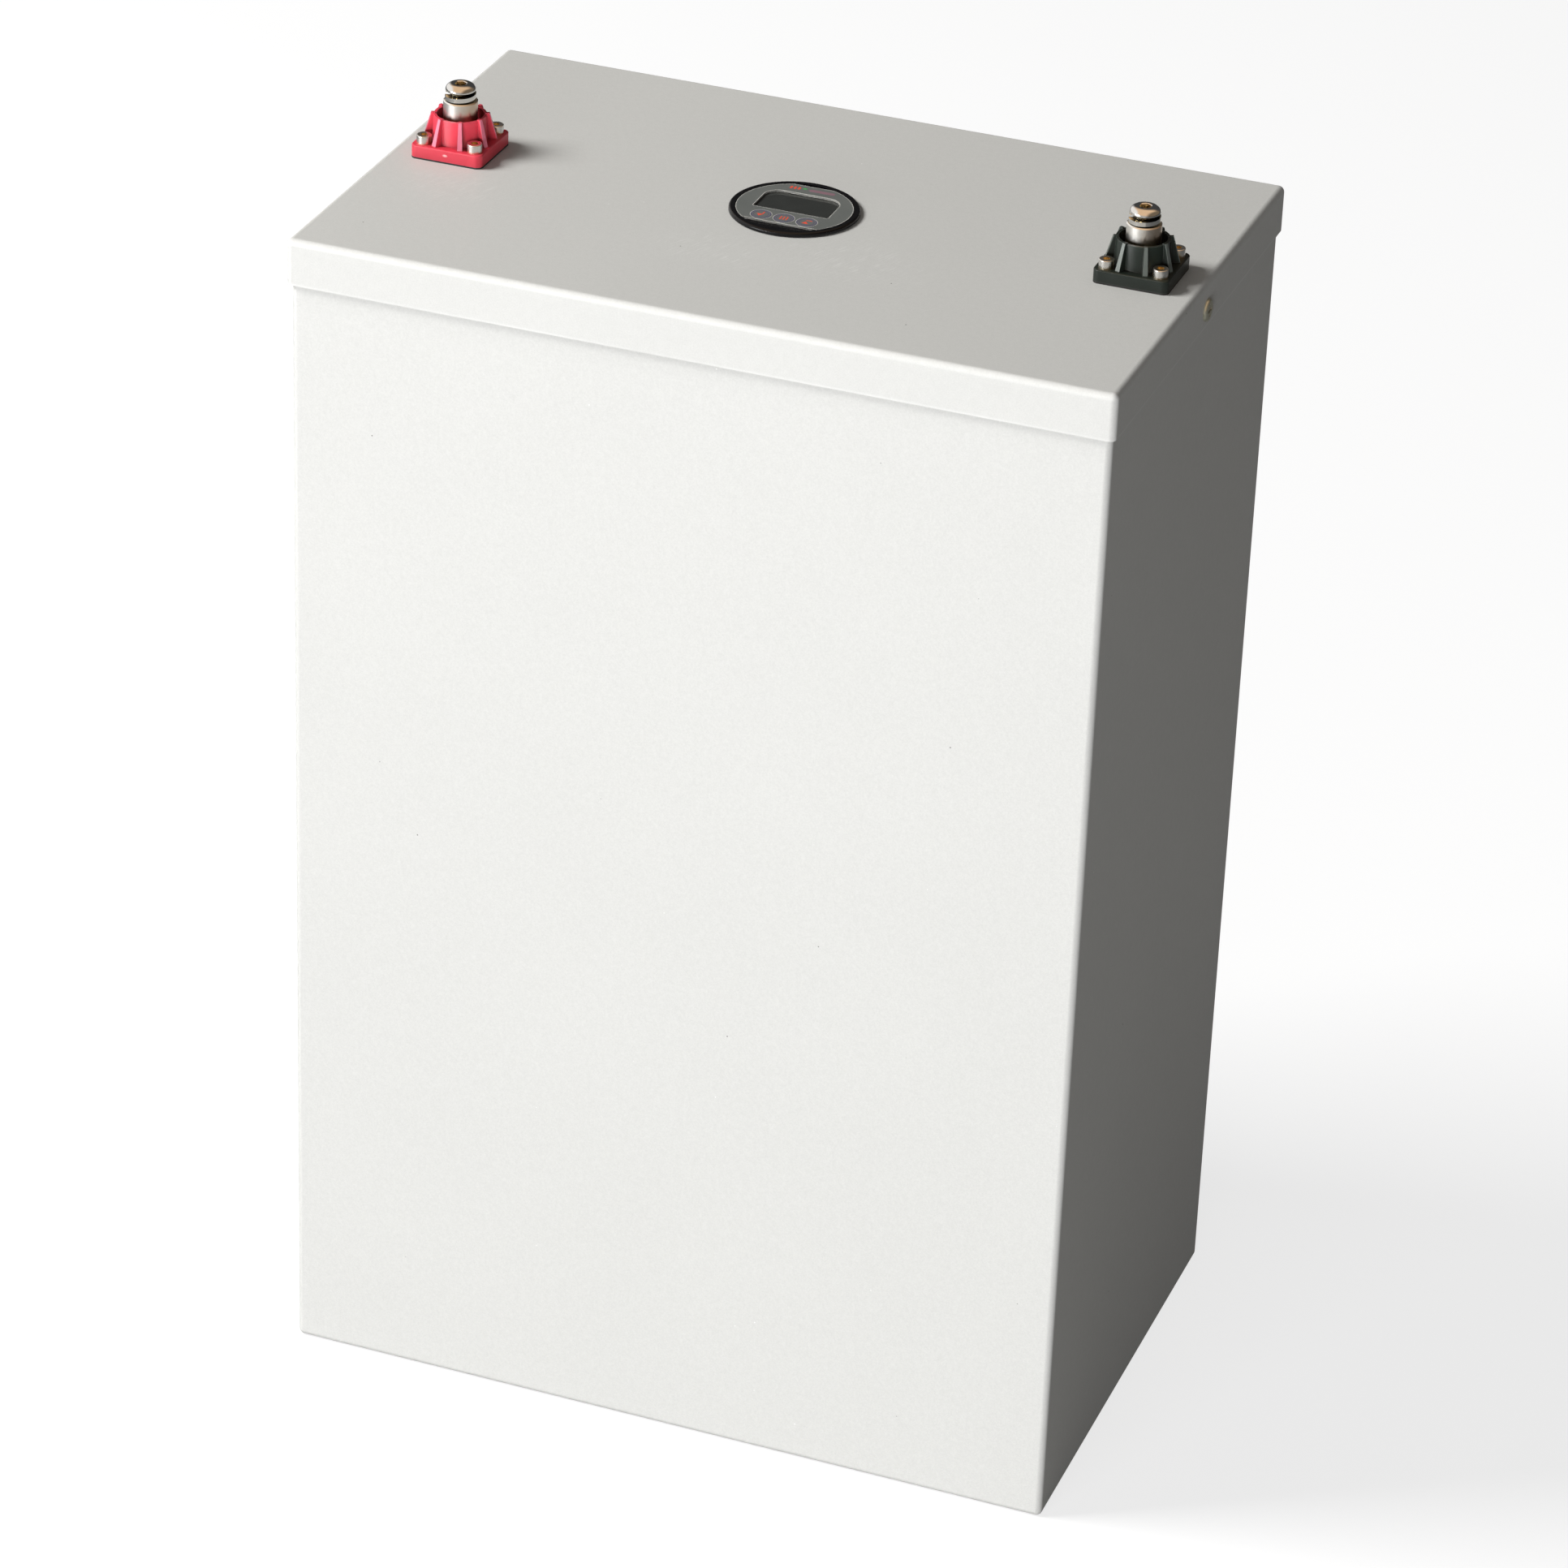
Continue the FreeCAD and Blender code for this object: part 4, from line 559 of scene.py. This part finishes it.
def bridge(mesh, lower, upper):
    """Quads between two rings of equally many vertices."""
    count = len(lower)
    for step in range(count):
        after = (step + 1) % count
        mesh.faces.new((lower[step], lower[after], upper[after], upper[step]))


# ---- Terminal bolts: button head, hexagon socket, rolled thread ----
BOLT_SIDES = 96
HEAD_HEIGHT = 3.4 * MM
HEAD_RADIUS = 7.0 * MM
SHANK_RADIUS = 4.0 * MM
CROWN_RADIUS = 3.3 * MM
RIM_RISE = 0.5 * MM
SEAT_EDGE = 0.3 * MM
SOCKET_HALF = 2.5 * MM
SOCKET_DEPTH = 2.2 * MM
SOCKET_MOUTH_RADIUS = 3.0 * MM
SOCKET_MOUTH_DEPTH = 0.3 * MM
SOCKET_RIM_DEPTH = 0.04 * MM
SOCKET_HOLD_DEPTH = 0.5 * MM
DRILL_POINT_HALF = 0.4 * SOCKET_HALF
DRILL_POINT_DEPTH = 0.5 * MM
THREAD_START = 0.8 * MM
TIP_TAPER = 0.6 * MM
THREAD_PITCH = 1.25 * MM
THREAD_DEPTH = 0.62 * MM
THREAD_STEPS = 10
THREAD_FLANK_SLOPE = 1.3
THREAD_FLANK_DROP = 0.12
DOME_STEPS = 14
DOME_FULLNESS = 0.92
SHARP_ANGLE = math.radians(32)


def hexagon_radius(angle):
    """Distance from the centre to a hexagon of unit half-width, at an angle."""
    within = (angle + math.pi / 6) % (math.pi / 3) - math.pi / 6
    return 1.0 / math.cos(within)


def thread_radius(angle, height, share):
    """Radius of the thread's surface; share fades the thread out towards its ends."""
    phase = (height / THREAD_PITCH - angle / (2 * math.pi)) % 1.0
    flank = min(1.0, max(0.0, abs(2 * phase - 1) * THREAD_FLANK_SLOPE - THREAD_FLANK_DROP))
    return SHANK_RADIUS - THREAD_DEPTH * share * (1 - flank)


def bolt_rings(head_bottom, tip):
    """Rings from the socket's floor over the head and down the shank: (radius function, height)."""
    crown = head_bottom + HEAD_HEIGHT
    socket_floor = crown - SOCKET_DEPTH

    def plain(radius):
        return lambda angle, height: radius

    def hexagonal(half_width):
        return lambda angle, height: half_width * hexagon_radius(angle)

    rings = [(hexagonal(DRILL_POINT_HALF), socket_floor - DRILL_POINT_DEPTH),
             (hexagonal(SOCKET_HALF), socket_floor), (hexagonal(SOCKET_HALF), crown - SOCKET_HOLD_DEPTH),
             (hexagonal(SOCKET_HALF), crown - SOCKET_MOUTH_DEPTH),
             (plain(SOCKET_MOUTH_RADIUS), crown - SOCKET_RIM_DEPTH), (plain(CROWN_RADIUS), crown)]
    rim_height = head_bottom + RIM_RISE
    for step in range(1, DOME_STEPS + 1):
        turn = math.radians(90.0 * step / DOME_STEPS)
        radius = CROWN_RADIUS + (HEAD_RADIUS - CROWN_RADIUS) * math.sin(turn) ** DOME_FULLNESS
        height = rim_height + (crown - rim_height) * math.cos(turn)
        rings.append((plain(radius), height))
    rings += [(plain(HEAD_RADIUS), head_bottom + SEAT_EDGE), (plain(HEAD_RADIUS - SEAT_EDGE), head_bottom),
              (plain(SHANK_RADIUS + SEAT_EDGE), head_bottom), (plain(SHANK_RADIUS), head_bottom - SEAT_EDGE)]
    thread_top = head_bottom - THREAD_START
    count = int((thread_top - tip) / THREAD_PITCH * THREAD_STEPS)
    for step in range(count + 1):
        height = thread_top - (thread_top - tip) * step / count
        share = min(1.0, (thread_top - height) / THREAD_PITCH)
        taper = max(0.0, TIP_TAPER - (height - tip))

        def threaded(angle, at, share=share, taper=taper):
            return thread_radius(angle, at, share) - taper

        rings.append((threaded, height))
    return rings


def make_bolt(side, material):
    low, high = BOLTS[side]
    centre = middle((low, high))
    mesh = bmesh.new()
    previous = None
    for radius_at, height in bolt_rings(high.z - HEAD_HEIGHT, low.z):
        ring = []
        for step in range(BOLT_SIDES):
            angle = 2 * math.pi * step / BOLT_SIDES
            radius = radius_at(angle, height)
            ring.append(mesh.verts.new((centre.x + radius * math.cos(angle),
                                        centre.y + radius * math.sin(angle), height)))
        if previous is None:
            mesh.faces.new(ring)
        else:
            bridge(mesh, ring, previous)
        previous = ring
    mesh.faces.new(list(reversed(previous)))
    bmesh.ops.recalc_face_normals(mesh, faces=mesh.faces)
    for face in mesh.faces:
        face.smooth = True
    for edge in mesh.edges:
        edge.smooth = edge.calc_face_angle(0.0) < SHARP_ANGLE
    bolt = new_piece("bolt_" + side, mesh, material, side + "_bolt")
    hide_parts("terminal_bolt_" + side)


# ---- Print on the meter ----
INK_HEIGHT = 0.03 * MM
CORNER_STEPS = 5
SYMBOL_STROKE = 0.60 * MM
SYMBOL_SIZE = 1.35 * MM
SYMBOL_CORNER = 0.12 * MM
BUTTON_RINGS = [(4.20 * MM, 4.60 * MM), (3.25 * MM, 3.55 * MM)]
MARK_ROW_INSET = 4.0 * MM
MARK_START = -9.4 * MM
MARK_PITCH = 1.9 * MM
MARK_LENGTH = 2.9 * MM
MARK_WIDTH = 1.1 * MM
DOT_PLACE = (-2.9 * MM, 0.5 * MM)
DOT_LENGTH = 2.0 * MM
STRIP_PLACE = (5.6 * MM, -0.2 * MM)
STRIP_LENGTH = 12.6 * MM
STRIP_WIDTH = 2.6 * MM


def soft_outline(corners, radius):
    """A convex outline round its corners, given anticlockwise; two corners make a rounded bar."""
    points = [Vector(corner) for corner in corners]
    outline = []
    for index, corner in enumerate(points):
        arriving = corner - points[index - 1]
        leaving = points[(index + 1) % len(points)] - corner
        start = math.atan2(arriving.y, arriving.x) - math.pi / 2
        sweep = (math.atan2(leaving.y, leaving.x) - math.pi / 2 - start) % (2 * math.pi)
        for step in range(CORNER_STEPS + 1):
            angle = start + sweep * step / CORNER_STEPS
            outline.append(corner + Vector((math.cos(angle), math.sin(angle))) * radius)
    return outline


def circle_outline(radius, count=64):
    angles = [2 * math.pi * step / count for step in range(count)]
    return [Vector((radius * math.cos(angle), radius * math.sin(angle))) for angle in angles]


def ink_walls(mesh, outline, centre, base_z):
    """The side walls of a printed mark; returns its bottom and top rings."""
    rings = []
    for height in (base_z, base_z + INK_HEIGHT):
        rings.append([mesh.verts.new((centre.x + point.x, centre.y + point.y, height)) for point in outline])
    bridge(mesh, *rings)
    return rings


def ink_mark(mesh, outline, centre, base_z):
    """A solid printed mark."""
    bottom, top = ink_walls(mesh, outline, centre, base_z)
    mesh.faces.new(top)
    mesh.faces.new(list(reversed(bottom)))


def ink_ring(mesh, inner_radius, outer_radius, centre, base_z):
    """A printed ring."""
    outer = ink_walls(mesh, circle_outline(outer_radius), centre, base_z)
    inner = ink_walls(mesh, circle_outline(inner_radius), centre, base_z)
    for outside, inside in zip(outer, inner):
        bridge(mesh, outside, inside)


def ink_piece(name, draw, material, body):
    """A printed piece drawn by a function that adds marks to a mesh."""
    mesh = bmesh.new()
    draw(mesh)
    bmesh.ops.recalc_face_normals(mesh, faces=mesh.faces)
    new_piece(name, mesh, material, body)


def triangle(size, direction, x, y):
    """An upright (1) or hanging (-1) triangle with soft corners about a point."""
    tip = (x, y + size * direction)
    foot = y - size * direction / 2
    corners = [tip, (x - size * direction, foot), (x + size * direction, foot)]
    return soft_outline(corners, SYMBOL_CORNER)


def bar(x, y, length, width, upright=False):
    """A rounded bar about a point."""
    half = (length - width) / 2
    ends = [(x, y - half), (x, y + half)] if upright else [(x - half, y), (x + half, y)]
    return soft_outline(ends, width / 2)


def print_buttons(red, blue):
    """Two faint rings on each button, and a plain red symbol inside them."""
    symbols = {"left": [triangle(SYMBOL_SIZE, -1, -0.5 * MM, -0.5 * MM),
                        bar(0.7 * MM, 1.6 * MM, 2.6 * MM, SYMBOL_STROKE, True)],
               "middle": [bar(step * 1.5 * MM, 0.0, 3.6 * MM, SYMBOL_STROKE, True) for step in (-1, 0, 1)],
               "right": [triangle(SYMBOL_SIZE, 1, -0.4 * MM, -1.0 * MM),
                         bar(0.6 * MM, 1.9 * MM, 3.0 * MM, SYMBOL_STROKE)]}
    for side, box in BUTTONS.items():
        centre = middle(box)
        top = box[1].z

        def rings(mesh, centre=centre, top=top):
            for inner_radius, outer_radius in BUTTON_RINGS:
                ink_ring(mesh, inner_radius, outer_radius, centre, top)

        def symbol(mesh, outlines=symbols[side], centre=centre, top=top):
            for outline in outlines:
                ink_mark(mesh, outline, centre, top)

        ink_piece("button_rings_" + side, rings, blue, side + "_button")
        ink_piece("button_symbol_" + side, symbol, red, side + "_button")


def print_faceplate(red, green, violet):
    """Plain marks along the plate's back edge: three red bars, a green dot and a faint strip."""
    row = Vector((0.0, FACE_HIGH.y - MARK_ROW_INSET, 0.0))
    top = FACE_HIGH.z

    def red_bars(mesh):
        for step in range(3):
            x = MARK_START + MARK_PITCH * step
            ink_mark(mesh, bar(x, 0.0, MARK_LENGTH, MARK_WIDTH, True), row, top)

    def green_dot(mesh):
        ink_mark(mesh, bar(*DOT_PLACE, DOT_LENGTH, MARK_WIDTH), row, top)

    def faint_strip(mesh):
        ink_mark(mesh, bar(*STRIP_PLACE, STRIP_LENGTH, STRIP_WIDTH), row, top)

    ink_piece("meter_mark_red", red_bars, red, "battery")
    ink_piece("meter_mark_green", green_dot, green, "battery")
    ink_piece("meter_mark_strip", faint_strip, violet, "battery")


# ---- Studio ----
KEY_LIGHT = {"place": (-3.0, -1.2, 3.35), "target": (0.0, 0.0, 0.5), "size": (1.6, 1.6),
             "power": 234.0, "tint": (1.0, 0.995, 0.985)}
FRONT_LIGHT = {"place": (0.1, -4.2, 0.38), "target": (0.0, 0.0, 0.22), "size": (3.4, 1.4),
               "power": 260.0, "tint": (0.975, 0.98, 1.0)}
GLINT_LIGHT = {"place": (-2.6, -3.3, 0.45), "target": (0.0, 0.0, 0.6), "size": (2.2, 1.4),
               "power": 250.0, "tint": (1.0, 1.0, 1.0)}
FLOOR_SIZE = 30.0
FLOOR_SEEN = colour(0.30, 0.30, 0.30)
FLOOR_BOUNCE = colour(0.22, 0.22, 0.215)
FLOOR_GLOW = 0.74
EVEN_LIGHT = 0.140
TAN_CEILING = colour(0.93, 0.64, 0.40)
FRONT_WALL = colour(0.62, 0.57, 0.52)
BACK_WALL = colour(0.06, 0.06, 0.06)
RIGHT_WALL = colour(0.20, 0.15, 0.10)
LEFT_WALL = colour(1.10, 1.08, 1.05)
BACKDROP = colour(0.58, 0.58, 0.58)


def make_floor():
    """Pale floor that glows a little to look nearly white but throws little light back up."""
    bpy.ops.mesh.primitive_plane_add(size=FLOOR_SIZE, location=(0.0, 0.0, 0.0))
    floor = bpy.context.object
    floor.name = "studio_floor"
    finish = Finish("studio_floor")
    seen = finish.add("LightPath").outputs["Is Camera Ray"]
    grain = finish.noise(4 * MM, detail=3.0)
    pale = finish.shade(FLOOR_SEEN, (grain, 0.01))
    finish.set(Base_Color=finish.mix(seen, FLOOR_BOUNCE, pale), Roughness=0.9,
               Specular_IOR_Level=0.0, Emission_Color=colour(1.0, 1.0, 1.0),
               Emission_Strength=finish.maths("MULTIPLY", seen, FLOOR_GLOW))
    floor.data.materials.append(finish.material)


def add_light(name, place, target, size, power, tint):
    """A rectangular soft light that points at a target."""
    lamp = bpy.data.lights.new(name, "AREA")
    lamp.shape = "RECTANGLE"
    lamp.size, lamp.size_y = size
    lamp.energy = power
    lamp.color = tint
    holder = bpy.data.objects.new(name, lamp)
    bpy.context.scene.collection.objects.link(holder)
    holder.location = place
    direction = Vector(target) - Vector(place)
    holder.rotation_euler = direction.to_track_quat("-Z", "Y").to_euler()
    holder.visible_camera = False
    return holder


def make_lights():
    """A key light from the left, a low one in front, and one at front left that only mirrors see."""
    key = add_light("key_light", **KEY_LIGHT)
    front = add_light("front_light", **FRONT_LIGHT)
    glint = add_light("glint_light", **GLINT_LIGHT)
    key.visible_glossy = False
    front.visible_glossy = False
    glint.visible_diffuse = False


def make_world():
    """Dim even light, a pale backdrop, and for reflections a room with a tan ceiling and a pale left wall."""
    world = bpy.data.worlds.new("studio")
    bpy.context.scene.world = world
    world.use_nodes = True
    nodes = Nodes(world.node_tree)
    nodes.tree.nodes.clear()
    direction = nodes.add("SeparateXYZ", Vector=nodes.add("TexCoord").outputs["Generated"])
    across, depth, height = (direction.outputs[axis] for axis in "XYZ")
    room = nodes.mix(nodes.ramp(height, 0.10, 0.40, 0.0, 1.0), FRONT_WALL, TAN_CEILING)
    room = nodes.mix(nodes.ramp(depth, 0.45, 0.75, 0.0, 1.0), room, BACK_WALL)
    room = nodes.mix(nodes.ramp(across, 0.35, 0.70, 0.0, 1.0), room, RIGHT_WALL)
    room = nodes.mix(nodes.ramp(across, -0.50, -0.70, 0.0, 1.0), room, LEFT_WALL)
    rays = nodes.add("LightPath").outputs
    light = nodes.mix(rays["Is Glossy Ray"], colour(EVEN_LIGHT, EVEN_LIGHT, EVEN_LIGHT), room)
    seen = nodes.mix(rays["Is Camera Ray"], light, BACKDROP)
    background = nodes.add("Background", Color=seen).outputs["Background"]
    nodes.add("OutputWorld", Surface=background)


def make_camera():
    """The camera, turned about its own axis by the roll."""
    azimuth, elevation, roll = (math.radians(angle) for angle in
                                (CAMERA_AZIMUTH, CAMERA_ELEVATION, CAMERA_ROLL))
    back = Vector((math.sin(azimuth) * math.cos(elevation), -math.cos(azimuth) * math.cos(elevation),
                   math.sin(elevation)))
    level_right = Vector((math.cos(azimuth), math.sin(azimuth), 0.0))
    level_up = back.cross(level_right)
    right = level_right * math.cos(roll) + level_up * math.sin(roll)
    up = level_up * math.cos(roll) - level_right * math.sin(roll)
    data = bpy.data.cameras.new("camera")
    data.sensor_width = SENSOR_WIDTH
    data.lens = CAMERA_LENS
    camera = bpy.data.objects.new("camera", data)
    bpy.context.scene.collection.objects.link(camera)
    turn = Matrix((right, up, back)).transposed().to_4x4()
    camera.matrix_world = Matrix.Translation(CAMERA_PLACE) @ turn
    bpy.context.scene.camera = camera


materials = finish_cad_nodes()
red_ink, green_ink, violet_ink, blue_ink = (made(recipe) for recipe in
                                            (print_red, print_green, print_violet, print_blue))
for side in BOLTS:
    make_bolt(side, materials["bolt_chrome"])
print_buttons(red_ink, blue_ink)
print_faceplate(red_ink, green_ink, violet_ink)
make_floor()
make_lights()
make_world()
make_camera()
bpy.context.scene.view_settings.view_transform = "Standard"
